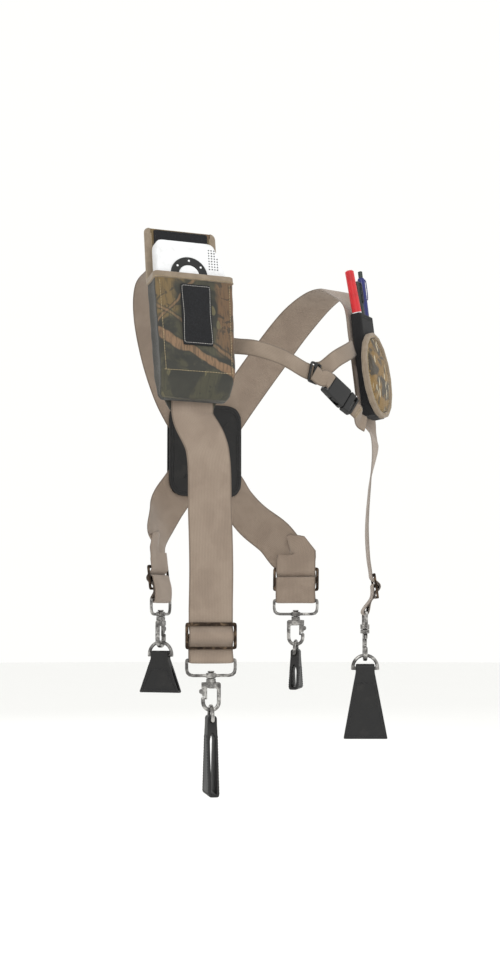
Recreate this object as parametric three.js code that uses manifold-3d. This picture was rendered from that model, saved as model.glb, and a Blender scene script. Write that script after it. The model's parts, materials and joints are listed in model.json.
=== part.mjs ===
// Field harness vest: two webbing straps worn over the shoulders and crossed on the back, with
// four hanging ends that hook onto a waist belt, a handset pouch, a pen pocket and a sternum
// strap with a side-release buckle. Millimetres. The wearer faces -Y, the wearer's right side
// is -X, and +Z is up. The origin is midway between the two places where the straps rest on
// the shoulders.

import * as THREE from 'three';
import { mergeVertices } from 'three/addons/utils/BufferGeometryUtils.js';
import Module from 'manifold-3d';

const wasm = await Module();
wasm.setup();

// ---- Driving dimensions ----

const clearance = 0.3; // between pieces that touch or turn on each other

// Main webbing, and the hardware that it runs through.
const webbingWidth = 50;
const webbingThickness = 1.8;
const webbingSideClearance = 0.5;
const adjusterBarThickness = 2.6;
const adjusterTopBar = 4;
const adjusterBar = 3;
const adjusterSlot = 10;
const adjusterSideBar = 3.6;

// Snap loop and swivelling snap hook.
const loopWire = 3.6;
const loopHeight = 21;
const bossRadius = 5.5;
const bossHeight = 6;
const spindleRadius = 2.2;
const spindleHeadRadius = 3.8;
const spindleHeadHeight = 1.8;
const hookThickness = 5;
const hookBowlRadius = 6.8;
const hookSection = 4.2;
const hookReach = 26; // collar to the centre of the bowl
const hookTipRise = 6;
const shoulderTop = 4;
const shoulderBottom = 11;
const gateThickness = 3;
const gatePinRadius = 1.2;
const gatePivotDrop = 8.4;
const gateOffset = 7.4;

// D-ring and belt tab.
const ringWire = 4;
const ringRadius = 14.6; // centreline of its round side
const ringDrop = 15.4; // centreline of the straight bar below the top of the round side
const tabLeaf = 2.8;
const tabTunnel = 6;
const tabTopWidth = 22;
const tabBottomWidth = 52;
const tabSewnLength = 10;
const frontTabHeight = 88;
const rearTabHeight = 50;

// Back patch.
const patchWidth = 104;
const patchHeight = 118;
const patchThickness = 2.2;

// Handset pouch, measured in the plane of the chest panel.
const pouchTopWidth = 94;
const pouchBottomWidth = 88;
const pouchHeight = 142;
const pouchDepth = 30;
const pouchWall = 2.4;
const pouchGussetHeight = 24;
const pouchGussetDepth = 12; // depth left at the foot of the wedge
const bindingThickness = 1.2;
const bindingHeight = 9;
const stripWidth = 35;
const stripLength = 72;
const stripThickness = 1.6;
const flapWidth = 85;
const flapHeight = 64;
const flapOffset = -4; // towards the wearer's right
const flapThickness = 2.4;
const flapPatchInset = 10;
const chestPanelWidth = 66;
const chestPanelFoot = 12; // how far it reaches below the pouch
const chestPanelThickness = 3;

// Handset.
const handsetWidth = 82;
const handsetTopWidth = 68;
const handsetThickness = 19;
const handsetShoulder = 38; // height of its sloping side
const handsetRise = 42; // how far it stands above the rim
const padRadius = 22;
const padHole = 12.4;
const padProud = 1.2;
const keyTravel = 1;

// Pen pocket.
const ovalWidth = 76;
const ovalHeight = 106;
const ovalThickness = 5;
const ovalBinding = 6;
const sleeveWidth = 40;
const sleeveDepth = 14;
const sleeveWall = 1.6;
const sleeveTop = 76; // above the middle of the oval
const sleeveFoot = 50; // below the middle of the oval

// Sternum strap and side-release buckle.
const sternumWidth = 20;
const sternumThickness = 1.5;
const buckleWidth = 27;
const buckleThickness = 9;
const socketLength = 27;
const plugBaseLength = 14;

// ---- Colours and surface values ----

const finishes = {
  webbing: { color: 0xa0917f, roughness: 0.9, metalness: 0 },
  binding: { color: 0xa4947c, roughness: 0.9, metalness: 0 },
  camouflage: { color: 0x5c5138, roughness: 0.85, metalness: 0 },
  black_fabric: { color: 0x17181a, roughness: 0.95, metalness: 0 },
  black_leather: { color: 0x121214, roughness: 0.6, metalness: 0 },
  bronze: { color: 0x2e2621, roughness: 0.4, metalness: 0.9 },
  gunmetal: { color: 0x77787a, roughness: 0.32, metalness: 1 },
  black_plastic: { color: 0x101114, roughness: 0.45, metalness: 0 },
  white_plastic: { color: 0xeef0f2, roughness: 0.3, metalness: 0 },
  red_plastic: { color: 0xc3222b, roughness: 0.35, metalness: 0 },
  blue_plastic: { color: 0x1c2f86, roughness: 0.35, metalness: 0 },
  pen_black: { color: 0x1b2622, roughness: 0.35, metalness: 0 },
};

// ---- Helpers ----

const vector = (x, y, z) => new THREE.Vector3(x, y, z);
const radians = THREE.MathUtils.degToRad;

// A named mesh with its own material.
function piece(name, geometry, finish) {
  const mesh = new THREE.Mesh(geometry, new THREE.MeshStandardMaterial(finishes[finish]));
  mesh.name = name;
  return mesh;
}

// A closed geometry as a solid for joining and cutting.
function toSolid(geometry) {
  const bare = geometry.clone();
  bare.deleteAttribute('normal');
  bare.deleteAttribute('uv');
  const merged = mergeVertices(bare, 1e-4);
  const vertProperties = new Float32Array(merged.attributes.position.array);
  const triVerts = new Uint32Array(merged.index.array);
  return new wasm.Manifold(new wasm.Mesh({ numProp: 3, vertProperties, triVerts }));
}

// The finished solid as a geometry again.
function toGeometry(solid) {
  const mesh = solid.getMesh();
  const geometry = new THREE.BufferGeometry();
  geometry.setAttribute('position', new THREE.BufferAttribute(new Float32Array(mesh.vertProperties), 3));
  geometry.setIndex(new THREE.BufferAttribute(new Uint32Array(mesh.triVerts), 1));
  geometry.computeVertexNormals();
  return geometry;
}

// Join every geometry in the first list, then cut away every one in the second.
function shaped(joined, removed = []) {
  let solid = toSolid(joined[0]);
  for (const extra of joined.slice(1)) {
    solid = solid.add(toSolid(extra));
  }
  for (const tool of removed) {
    solid = solid.subtract(toSolid(tool));
  }
  return toGeometry(solid);
}

// What two closed geometries have in common.
function common(first, second) {
  return toGeometry(toSolid(first).intersect(toSolid(second)));
}

// A block between two corners.
function block(low, high) {
  const size = high.clone().sub(low);
  const middle = high.clone().add(low).multiplyScalar(0.5);
  return new THREE.BoxGeometry(size.x, size.y, size.z).translate(middle.x, middle.y, middle.z);
}

// A round bar along Z from one height to another.
function uprightBar(radius, bottom, top, x = 0, y = 0, sides = 12) {
  const bar = new THREE.CylinderGeometry(radius, radius, top - bottom, sides).rotateX(Math.PI / 2);
  return bar.translate(x, y, (top + bottom) / 2);
}

// A closed outline through corners [x, z, radius], each rounded by a curve.
function outline(corners, path = new THREE.Shape()) {
  const count = corners.length;
  corners.forEach(([x, z, radius], index) => {
    const corner = new THREE.Vector2(x, z);
    const before = new THREE.Vector2(...corners[(index + count - 1) % count].slice(0, 2));
    const after = new THREE.Vector2(...corners[(index + 1) % count].slice(0, 2));
    const entry = corner.clone().add(before.sub(corner).setLength(radius));
    const exit = corner.clone().add(after.sub(corner).setLength(radius));
    if (index === 0) {
      path.moveTo(entry.x, entry.y);
    } else {
      path.lineTo(entry.x, entry.y);
    }
    if (radius > 0) {
      path.quadraticCurveTo(x, z, exit.x, exit.y);
    }
  });
  path.closePath();
  return path;
}

// An outline drawn in X and Z, given a thickness along Y and centred on Y = 0.
function plate(shape, thickness, bevel = 0, curveSegments = 4) {
  const geometry = new THREE.ExtrudeGeometry(shape, {
    depth: thickness - 2 * bevel,
    bevelEnabled: bevel > 0,
    bevelThickness: bevel,
    bevelSize: bevel,
    bevelOffset: -bevel,
    bevelSegments: 1,
    curveSegments,
  });
  return geometry.translate(0, 0, bevel - thickness / 2).rotateX(Math.PI / 2);
}

// ---- Webbing ----

// Points between hand-chosen guides, each guide being [x, y, z, facing x, facing y, facing z].
function guided(guides, stepsPerSpan) {
  const places = guides.map(([x, y, z]) => vector(x, y, z));
  const facings = guides.map((guide) => vector(...guide.slice(3)));
  const line = new THREE.CatmullRomCurve3(places);
  const turn = new THREE.CatmullRomCurve3(facings);
  const count = (guides.length - 1) * stepsPerSpan;
  return Array.from({ length: count + 1 }, (_, index) => ({
    point: line.getPoint(index / count),
    normal: turn.getPoint(index / count).normalize(),
  }));
}

// Stations along a webbing's middle, squared up so that across, normal and along are at right
// angles to each other.
function squared(stations) {
  return stations.map(({ point, normal }, index) => {
    const before = stations[Math.max(index - 1, 0)].point;
    const after = stations[Math.min(index + 1, stations.length - 1)].point;
    const along = after.clone().sub(before).normalize();
    const across = normal.clone().cross(along).normalize();
    return { point, across, normal: along.clone().cross(across) };
  });
}

// A flat strap: a long box bent along its stations.
function strap(stations, width, thickness) {
  const frames = squared(stations);
  const spans = frames.length - 1;
  const geometry = new THREE.BoxGeometry(width, thickness, 1, 1, 1, spans);
  const position = geometry.attributes.position;
  for (let index = 0; index < position.count; index += 1) {
    const frame = frames[Math.round((position.getZ(index) + 0.5) * spans)];
    const point = frame.point.clone()
      .addScaledVector(frame.across, position.getX(index))
      .addScaledVector(frame.normal, position.getY(index));
    position.setXYZ(index, point.x, point.y, point.z);
  }
  geometry.computeVertexNormals();
  return geometry;
}

// ---- Ends: adjuster, snap loop, snap hook, gate, D-ring and belt tab ----
// Each end has its own frame: X across the strap, Y towards the wearer, Z up, and its origin on
// the middle of the wire that the webbing turns around.

const wireReach = loopWire / 2 / Math.cos(Math.PI / 8); // corner of the wire's eight sides
const turnRadius = wireReach + clearance + webbingThickness / 2;
const behindBar = adjusterBarThickness / 2 + clearance + webbingThickness / 2;
const behindRun = behindBar + webbingThickness + clearance;
const barReach = Math.hypot(adjusterBarThickness, adjusterBar) / 2;
const sewnRadius = barReach + clearance + webbingThickness / 2;
const overRadius = sewnRadius + webbingThickness + clearance;
const upperPitch = adjusterBar / 2 + adjusterSlot + adjusterTopBar / 2;
const lowerPitch = adjusterBar + adjusterSlot;
const slotWidth = webbingWidth + 2 * webbingSideClearance;
const adjusterWidth = slotWidth + 2 * adjusterSideBar;

// Points of an arc [y, z] about a centre at a height, from one angle to another in degrees.
function arc(height, radius, from, to, steps) {
  return Array.from({ length: steps + 1 }, (_, index) => {
    const angle = radians(from + ((to - from) * index) / steps);
    return [radius * Math.cos(angle), height + radius * Math.sin(angle)];
  });
}

// The webbing's way through the adjuster, around the snap loop's wire and back up to the
// middle bar, where it is sewn around the bar. It comes down on the wearer's side.
function endRoute({ frames, bight }) {
  const through = [
    [behindBar, upperPitch + adjusterTopBar],
    [behindBar, upperPitch - adjusterTopBar / 2 - 1],
    ...arc(0, overRadius, 135, 225, 5),
    [behindBar, -lowerPitch + adjusterBar],
    [behindBar, -lowerPitch],
  ];
  const around = [
    [behindBar, bight - adjusterBar],
    ...arc(0, turnRadius, 150, 360, 9),
    [behindRun, bight - adjusterBar],
  ];
  const sewn = [[behindRun, -lowerPitch + adjusterBar], ...arc(0, sewnRadius, -10, 180, 9)];
  const laid = (route, frame) => route.map(([y, z]) => vector(0, y, z).applyMatrix4(frame));
  const points = [
    ...laid(through, frames.adjusterFrame),
    ...laid(around, frames.leg),
    ...laid(sewn, frames.adjusterFrame),
  ];
  const across = vector(1, 0, 0).transformDirection(frames.leg);
  return points.map((point, index) => {
    const before = points[Math.max(index - 1, 0)];
    const after = points[Math.min(index + 1, points.length - 1)];
    return { point, normal: after.clone().sub(before).normalize().cross(across) };
  });
}

function adjuster(name) {
  const height = adjusterTopBar + 2 * adjusterBar + 2 * adjusterSlot;
  const low = -lowerPitch - adjusterBar / 2;
  const half = adjusterWidth / 2;
  const shape = outline([[-half, low, 3], [half, low, 3], [half, low + height, 3], [-half, low + height, 3]]);
  for (const floor of [low + adjusterBar, adjusterBar / 2]) {
    const roof = floor + adjusterSlot;
    const side = slotWidth / 2;
    const slot = [[-side, floor, 1], [-side, roof, 1], [side, roof, 1], [side, floor, 1]];
    shape.holes.push(outline(slot, new THREE.Path()));
  }
  return piece(name, plate(shape, adjusterBarThickness, 0.4, 2), 'bronze');
}

// The wire loop hangs from the webbing, with a bored boss at its foot for the hook's spindle.
function snapLoop(name) {
  const chamfer = loopWire / (2 + Math.SQRT2);
  const half = slotWidth / 2 + loopWire;
  const top = loopWire / 2;
  const shape = outline([[-half, top - loopHeight, 9], [half, top - loopHeight, 9],
    [half, top, 3.5], [-half, top, 3.5]]);
  const innerHalf = slotWidth / 2;
  const innerTop = -loopWire / 2;
  const floor = top - loopHeight + loopWire;
  const hole = [[-innerHalf, innerTop, 0.5], [innerHalf, innerTop, 0.5], [innerHalf, floor, 6],
    [-innerHalf, floor, 6]];
  shape.holes.push(outline(hole, new THREE.Path()));
  const middle = top - loopHeight + loopWire / 2;
  const boss = uprightBar(bossRadius, middle - bossHeight / 2, middle + bossHeight / 2);
  const bore = uprightBar(spindleRadius + clearance, middle - bossHeight, middle + bossHeight);
  return piece(name, shaped([plate(shape, loopWire, chamfer, 3), boss], [bore]), 'gunmetal');
}

const bossMiddle = loopWire / 2 - loopHeight + loopWire / 2;
const collarTop = bossMiddle - bossHeight / 2 - clearance;
const wireOfRing = ringWire / 2 / Math.cos(Math.PI / 8);
const ringSeat = 0.5; // the ring's wire curves down past the sides of the hook
const gatePivot = vector(-gateOffset, 0, -gatePivotDrop);

// The hook's origin is the top of its collar, on the spindle's axis.
function snapHook(name) {
  const outer = hookBowlRadius + hookSection;
  const tipTop = -hookReach + hookTipRise;
  const tipMiddle = (hookBowlRadius + outer) / 2;
  const shape = new THREE.Shape();
  shape.moveTo(-outer + 2, -shoulderTop);
  shape.lineTo(outer - 3, -shoulderTop);
  shape.quadraticCurveTo(outer, -shoulderTop, outer, -shoulderTop - 3);
  shape.lineTo(outer, -hookReach);
  shape.absarc(0, -hookReach, outer, 0, -Math.PI, true);
  shape.lineTo(-outer, tipTop - 1.5);
  shape.quadraticCurveTo(-tipMiddle, tipTop + 1.5, -hookBowlRadius, tipTop - 1.5);
  shape.lineTo(-hookBowlRadius, -hookReach);
  shape.absarc(0, -hookReach, hookBowlRadius, -Math.PI, 0, false);
  shape.lineTo(hookBowlRadius, -shoulderBottom - 2);
  shape.quadraticCurveTo(hookBowlRadius, -shoulderBottom, hookBowlRadius - 2, -shoulderBottom);
  shape.lineTo(-outer, -shoulderBottom);
  shape.lineTo(-outer, -shoulderTop - 2);
  shape.quadraticCurveTo(-outer, -shoulderTop, -outer + 2, -shoulderTop);
  const headBottom = bossHeight + 2 * clearance;
  const joined = [
    plate(shape, hookThickness, 0.8, 5),
    uprightBar(bossRadius, -shoulderTop - 0.5, 0),
    uprightBar(spindleRadius, -1, headBottom + 0.5),
    uprightBar(spindleHeadRadius, headBottom, headBottom + spindleHeadHeight),
  ];
  const slotHalf = gateThickness / 2 + clearance;
  const slot = block(
    vector(-outer - 2, -slotHalf, -shoulderBottom - 1),
    vector(gatePivot.x + 5, slotHalf, gatePivot.z + 3.4),
  );
  const body = shaped(joined, [slot]);
  const pin = new THREE.CylinderGeometry(gatePinRadius, gatePinRadius, hookThickness - 0.8, 10);
  return piece(name, shaped([body, pin.translate(gatePivot.x, 0, gatePivot.z)]), 'gunmetal');
}

// The sprung gate turns on the hook's pin and closes on the inner side of its tip.
function snapGate(name) {
  const tipTop = -hookReach + hookTipRise - gatePivot.z;
  const outerFace = -(hookBowlRadius + hookSection) - gatePivot.x + 1.2;
  const innerFace = outerFace + 5.4;
  const tipFace = -hookBowlRadius - gatePivot.x + clearance;
  const thumb = outerFace - 3.4;
  const shape = outline([
    [outerFace, 2.6, 1.6],
    [outerFace, -2.4, 0.5],
    [thumb, -4, 1],
    [thumb, -7.6, 1],
    [outerFace, -9.4, 0.5],
    [outerFace, tipTop + clearance, 0.5],
    [tipFace, tipTop + clearance, 0.2],
    [tipFace, tipTop - 3, 0.5],
    [innerFace, tipTop - 3, 0.5],
    [innerFace, 2.6, 1.6],
  ]);
  shape.holes.push(new THREE.Path().absarc(0, 0, gatePinRadius + clearance, 0, 2 * Math.PI, true));
  return piece(name, plate(shape, gateThickness, 0, 3), 'gunmetal');
}

// The ring's origin is the middle of its wire, where it hangs in the hook.
function dRing(name) {
  const chamfer = ringWire / (2 + Math.SQRT2);
  const drawn = (offset, path) => {
    const radius = ringRadius + offset;
    path.absarc(0, -ringRadius, radius, 0, Math.PI, false);
    path.lineTo(-radius, -ringDrop - offset);
    path.lineTo(radius, -ringDrop - offset);
    path.closePath();
    return path;
  };
  const shape = drawn(ringWire / 2, new THREE.Shape());
  shape.holes.push(drawn(-ringWire / 2, new THREE.Path()));
  return piece(name, plate(shape, ringWire, chamfer, 7).rotateZ(Math.PI / 2), 'gunmetal');
}

// A leaf folded around the ring's bar and sewn below it, then folded again into a belt tunnel.
// Its origin is the middle of the bar. The belt runs through it along Y.
function beltTab(name, height) {
  const hold = ringWire / 2 / Math.cos(Math.PI / 8) + clearance;
  const neck = hold + tabLeaf;
  const half = tabTunnel / 2 + tabLeaf;
  const sewn = -hold - tabSewnLength;
  const floor = neck - height;
  const shape = outline([
    [-half, sewn - 6, 4], [-half, floor, 3], [half, floor, 3], [half, sewn - 6, 4], [neck, 0, 2],
    [neck, neck, 4],
    [-neck, neck, 4], [-neck, 0, 2],
  ]);
  shape.holes.push(new THREE.Path().absarc(0, 0, hold, 0, 2 * Math.PI, true));
  const tunnel = tabTunnel / 2;
  const hole = [[0, sewn, 1], [tunnel, sewn - 8, 3], [tunnel, floor + tabLeaf, 1],
    [-tunnel, floor + tabLeaf, 1], [-tunnel, sewn - 8, 3]];
  shape.holes.push(outline(hole, new THREE.Path()));
  const face = outline([
    [-tabBottomWidth / 2, floor - 1, 1], [tabBottomWidth / 2, floor - 1, 1],
    [tabTopWidth / 2, -hold - 2, 1], [tabTopWidth / 2, neck + 1, 1],
    [-tabTopWidth / 2, neck + 1, 1], [-tabTopWidth / 2, -hold - 2, 1],
  ]);
  const side = plate(face, 4 * half).rotateZ(Math.PI / 2);
  return piece(name, common(plate(shape, tabBottomWidth + 2), side), 'black_leather');
}

// ---- Layout ----

const vest = new THREE.Group();

// A frame for a sub-assembly: turned outwards by yaw, its top leant towards the wearer, and
// rolled in its own face. All three are in degrees.
function holder([x, y, z], yaw = 0, lean = 0, roll = 0) {
  const group = new THREE.Group();
  group.position.set(x, y, z);
  group.rotation.set(radians(-lean), radians(roll), radians(yaw), 'ZXY');
  group.updateMatrix();
  vest.add(group);
  return group;
}

// A guide [x, y, z, facing] given in a sub-assembly's frame, facing away from the wearer.
function guideIn(group, x, y, z) {
  const point = vector(x, y, z).applyMatrix4(group.matrix);
  const facing = vector(0, -1, 0).transformDirection(group.matrix);
  return [...point.toArray(), ...facing.toArray()];
}

function placeIn(group, mesh, x, y, z) {
  mesh.position.set(x, y, z);
  group.add(mesh);
  return mesh;
}

const penLayer = clearance + webbingThickness / 2; // the first strap behind the pen sleeve
const penSecondLayer = penLayer + webbingThickness + clearance;
const pouchHolder = holder([-134, -84, -96], -8, 12, 1);
const penHolder = holder([110, -76, -118], 33, 8, 2);

// Layers behind the pouch, from the pouch towards the wearer.
const strapBeforePanel = -clearance - webbingThickness / 2;
const pouchBack = 2 * strapBeforePanel;
const strapBehindPanel = chestPanelThickness + clearance + webbingThickness / 2;

// ---- The four ends ----

const hangAngle = { front_right: 0, front_left: -8, rear_right: 6, rear_left: 6 };
const ends = [
  { name: 'front_right', place: [-111, -98, -452], yaw: -20, lean: 2, bight: 13, tab: frontTabHeight },
  { name: 'front_left', place: [103, -86, -399], yaw: 60, lean: 38, bight: 22, tab: frontTabHeight },
  { name: 'rear_right', place: [-95, 58, -384], yaw: -141, lean: 6, bight: 13, tab: rearTabHeight },
  { name: 'rear_left', place: [95, 58, -384], yaw: 141, lean: 6, bight: 13, tab: rearTabHeight },
];

// The leg frame follows the bight up from the wire; the adjuster frame has its middle bar at
// its origin and hangs at its own angle above the bight.
function endFrames(end, base) {
  const leg = base.clone().multiply(new THREE.Matrix4().makeRotationX(radians(end.lean)));
  const foot = vector(0, 0, end.bight).applyMatrix4(leg);
  const adjusterFrame = base.clone().setPosition(foot)
    .multiply(new THREE.Matrix4().makeRotationX(radians(hangAngle[end.name])))
    .multiply(new THREE.Matrix4().makeTranslation(0, 0, lowerPitch));
  return { leg, adjusterFrame };
}

for (const end of ends) {
  const group = holder(end.place, end.yaw);
  end.frames = endFrames(end, group.matrix);
  const slider = adjuster(`${end.name}_tri_glide`);
  slider.applyMatrix4(end.frames.adjusterFrame);
  vest.add(slider);
  placeIn(group, snapLoop(`${end.name}_snap_loop`), 0, 0, 0);
  placeIn(group, snapHook(`${end.name}_snap_hook`), 0, 0, collarTop);
  placeIn(group, snapGate(`${end.name}_snap_gate`), gatePivot.x, 0, collarTop + gatePivot.z);
  const ringHeight = collarTop - hookReach - hookBowlRadius + wireOfRing + ringSeat;
  placeIn(group, dRing(`${end.name}_d_ring`), 0, 0, ringHeight);
  placeIn(group, beltTab(`${end.name}_belt_tab`, end.tab), 0, 0, ringHeight - ringDrop);
}

// ---- Straps ----

const patchMiddle = vector(0, 124, -194);
const shoulderRest = 120; // each strap's middle at the top of the shoulder
const spanSteps = 5;

// One strap's guides for the right side; the left side mirrors them.
const mirrored = (guides, side) => guides.map(([x, y, z, fx, fy, fz]) => [side * x, y, z, side * fx, fy, fz]);

const overShoulder = [
  [26, 124, -160, 0, 1, 0],
  [38, 124, -143, 0, 1, 0],
  [52, 121, -122, 0.06, 1, 0.04],
  [80, 103, -75, 0.22, 0.93, 0.25],
  [105, 70, -27, 0.26, 0.72, 0.6],
  [117, 34, -3, 0.15, 0.32, 0.94],
  [shoulderRest, 2, 2, 0.06, -0.08, 1],
];

const rearRun = [
  [24, 124, -226, 0, 1, 0],
  [37, 124, -243, 0, 1, 0],
  [52, 123.4, -263, 0, 1, 0],
  [66, 114, -282, 0.2, 0.98, 0],
  [84, 92, -304, 0.45, 0.89, 0],
  [94, 72, -326, 0.58, 0.81, 0],
];

// The strap's last guides stand above the adjuster, where the webbing goes in behind its bar,
// further off on a wider webbing.
const approachFar = 0.32 * webbingWidth;
const approachNear = 0.12 * webbingWidth;
function approach(end) {
  const facing = vector(0, -1, 0).transformDirection(end.frames.adjusterFrame);
  return [approachFar, approachNear].map((rise) => {
    const height = upperPitch + adjusterTopBar + rise;
    const point = vector(0, behindBar, height).applyMatrix4(end.frames.adjusterFrame);
    return [...point.toArray(), ...facing.toArray()];
  });
}

const endNamed = (name) => ends.find((end) => end.name === name);

function runTo(end, guides) {
  return [...guided([...guides, ...approach(end)], spanSteps), ...endRoute(end)];
}

function mainStrap(name, stations) {
  vest.add(piece(name, strap(stations, webbingWidth, webbingThickness), 'webbing'));
}

const panelTop = pouchHeight / 2;
const pouchFoot = -pouchHeight / 2;
const pouchFront = pouchBack - pouchDepth;
mainStrap('right_shoulder_strap', guided([
  ...mirrored(overShoulder, -1),
  [-126, -28, -2, -0.06, -0.34, 0.93],
  [-131, -50, -11, -0.1, -0.72, 0.68],
  guideIn(pouchHolder, 0, strapBehindPanel + 1.4, panelTop - 2),
  guideIn(pouchHolder, 0, strapBehindPanel, panelTop - 22),
  guideIn(pouchHolder, 0, strapBehindPanel, panelTop - 64),
], spanSteps));

mainStrap('left_shoulder_strap', guided([
  ...mirrored(overShoulder, 1),
  [109, -32, -15, 0.24, -0.56, 0.8],
  guideIn(penHolder, 2, penSecondLayer + 2, sleeveTop + 2),
  guideIn(penHolder, 0, penSecondLayer, sleeveTop - 26),
  guideIn(penHolder, 0, penSecondLayer, 10),
  guideIn(penHolder, 0, penSecondLayer, -24),
], spanSteps));

mainStrap('front_right_strap', runTo(endNamed('front_right'), [
  guideIn(pouchHolder, 1, strapBeforePanel, -40),
  guideIn(pouchHolder, 1, strapBeforePanel, pouchFoot - 1),
  guideIn(pouchHolder, 1, strapBeforePanel - 0.3, pouchFoot - chestPanelFoot - 6),
  [-123, -109, pouchFoot - 144, -0.2, -0.98, 0.04],
  [-118, -108, -290, -0.28, -0.96, 0],
  [-113, -102, -350, -0.32, -0.95, 0],
]));

mainStrap('front_left_strap', runTo(endNamed('front_left'), [
  guideIn(penHolder, 0, penLayer, 12),
  guideIn(penHolder, 0, penLayer + 0.2, -30),
  guideIn(penHolder, 0, penLayer + 1.4, -sleeveFoot - 10),
  [113, -94, -196, 0.72, -0.7, 0.06],
  [107, -92, -250, 0.85, -0.52, 0],
  [104, -90, -300, 0.87, -0.5, 0],
]));

for (const [name, side] of [['right', -1], ['left', 1]]) {
  const end = endNamed(`rear_${name}`);
  mainStrap(`rear_${name}_strap`, runTo(end, mirrored(rearRun, side)));
}

// Two leaves sewn over the straps where they meet on the back.
for (const [name, side] of [['inner', -1], ['outer', 1]]) {
  const half = patchWidth / 2;
  const tall = patchHeight / 2;
  const shape = outline([[-half, -tall, 22], [half, -tall, 22], [half, tall, 22], [-half, tall, 22]]);
  const leaf = piece(`back_patch_${name}`, plate(shape, patchThickness, 0, 5), 'black_leather');
  const offset = side * (webbingThickness / 2 + 2 * clearance + patchThickness / 2);
  leaf.position.set(patchMiddle.x, patchMiddle.y + offset, patchMiddle.z);
  vest.add(leaf);
}

// ---- Handset pouch ----
// All of it is drawn in the pouch's frame: X across, Y towards the wearer, Z up the chest panel.


// An outline drawn in Y and Z, given a width along X and centred on X = 0.
function sidePlate(shape, width, curveSegments = 4) {
  return plate(shape, width, 0, curveSegments).rotateZ(Math.PI / 2);
}

// The pouch's outer form, shrunk by a wall on every side and raised by a floor.
function pouchForm(wall, top) {
  const back = pouchBack - wall;
  const front = pouchFront + wall;
  const foot = pouchFoot + wall;
  const wedgeTop = pouchFoot + pouchGussetHeight + wall / 2;
  const profile = outline([
    [back, top, 0], [front, top, 0], [front, wedgeTop, 3],
    [back - pouchGussetDepth + 2 * wall, foot, 1.5], [back, foot, 0],
  ]);
  const low = pouchBottomWidth / 2 - wall;
  const high = pouchTopWidth / 2 - wall;
  const face = outline([[-low + 4, foot, 2], [low - 4, foot, 2], [low, wedgeTop, 2], [high, top, 0],
    [-high, top, 0], [-low, wedgeTop, 2]]);
  const deep = plate(face, 4 * pouchDepth, 0, 2);
  return common(sidePlate(profile, 2 * pouchTopWidth, 2), deep);
}

const shellSolid = shaped([pouchForm(0, panelTop)], [pouchForm(pouchWall, panelTop + 5)]);
placeIn(pouchHolder, piece('pouch_shell', shellSolid, 'camouflage'), 0, 0, 0);

// Tape bound around the front and sides of the rim, open towards the panel.
function rimBinding() {
  const inner = pouchTopWidth / 2 + clearance;
  const outer = inner + bindingThickness;
  const front = pouchFront - clearance;
  const tape = outline([
    [-outer, pouchBack, 0], [-outer, front - bindingThickness, 2], [outer, front - bindingThickness, 2],
    [outer, pouchBack, 0], [inner, pouchBack, 0], [inner, front, 0.8], [-inner, front, 0.8],
    [-inner, pouchBack, 0],
  ]);
  const geometry = new THREE.ExtrudeGeometry(tape,
    { depth: bindingHeight, bevelEnabled: false, curveSegments: 3 });
  return piece('pouch_rim_binding', geometry, 'binding');
}

placeIn(pouchHolder, rimBinding(), 0, 0, panelTop - bindingHeight);

function roundedPanel(name, width, height, thickness, radius, finish) {
  const half = width / 2;
  const tall = height / 2;
  const shape = outline([[-half, -tall, radius], [half, -tall, radius], [half, tall, radius],
    [-half, tall, radius]]);
  return piece(name, plate(shape, thickness, 0, 3), finish);
}

const stripHeight = panelTop - bindingHeight - 5 - stripLength / 2;
const strip = roundedPanel('pouch_front_strip', stripWidth, stripLength, stripThickness, 1.5, 'black_fabric');
placeIn(pouchHolder, strip, 0, pouchFront - clearance - stripThickness / 2, stripHeight);

// The flap turns about the back edge of its foot. Its origin is there.
const flapBase = panelTop + clearance;
const flapShape = outline([
  [-flapWidth / 2, 0, 1], [flapWidth / 2, 0, 1], [flapWidth / 2, flapHeight, 6],
  [-flapWidth / 2, flapHeight, 6],
]);
const flapBoard = plate(flapShape, flapThickness, 0, 3).translate(0, -flapThickness / 2, 0);
placeIn(pouchHolder, piece('pouch_flap', flapBoard, 'camouflage'), flapOffset, pouchBack, flapBase);
const liningHeight = flapHeight - 4;
const lining = roundedPanel('flap_loop_patch', flapWidth - 2 * flapPatchInset, liningHeight,
  stripThickness, 1.5, 'black_fabric');
const liningOffset = pouchBack - flapThickness - clearance - stripThickness / 2;
placeIn(pouchHolder, lining, flapOffset, liningOffset, flapBase + 2 + liningHeight / 2);

// The panel behind the pouch is sewn between the two straps and tapers to the front one.
const panelShape = outline([
  [-chestPanelWidth / 2 + 9, pouchFoot - chestPanelFoot, 2],
  [chestPanelWidth / 2 - 9, pouchFoot - chestPanelFoot, 2],
  [chestPanelWidth / 2, pouchFoot + 6, 4], [chestPanelWidth / 2, panelTop, 4],
  [-chestPanelWidth / 2, panelTop, 4], [-chestPanelWidth / 2, pouchFoot + 6, 4],
]);
const chestPanel = piece('chest_panel', plate(panelShape, chestPanelThickness, 0, 3), 'camouflage');
placeIn(pouchHolder, chestPanel, 0, chestPanelThickness / 2, 0);

// ---- Handset ----

const handsetMiddle = (pouchBack + pouchFront) / 2;
const handsetFoot = pouchFoot + pouchGussetHeight + 2;
const handsetTop = panelTop + handsetRise;
const padThickness = 2 * padProud;
const recessDepth = padThickness - padProud + keyTravel + clearance;

function handsetBody() {
  const half = handsetWidth / 2;
  const shape = outline([
    [-half, handsetFoot, 8], [half, handsetFoot, 8], [half, handsetTop - handsetShoulder, 6],
    [handsetTopWidth - half, handsetTop, 6], [-half, handsetTop, 7],
  ]);
  const body = plate(shape, handsetThickness, 2.2, 3);
  const recess = new THREE.CylinderGeometry(padRadius + clearance, padRadius + clearance,
    2 * recessDepth, 32);
  recess.translate(-4, -handsetThickness / 2, panelTop);
  return piece('handset_body', shaped([body], [recess]), 'white_plastic');
}

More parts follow.
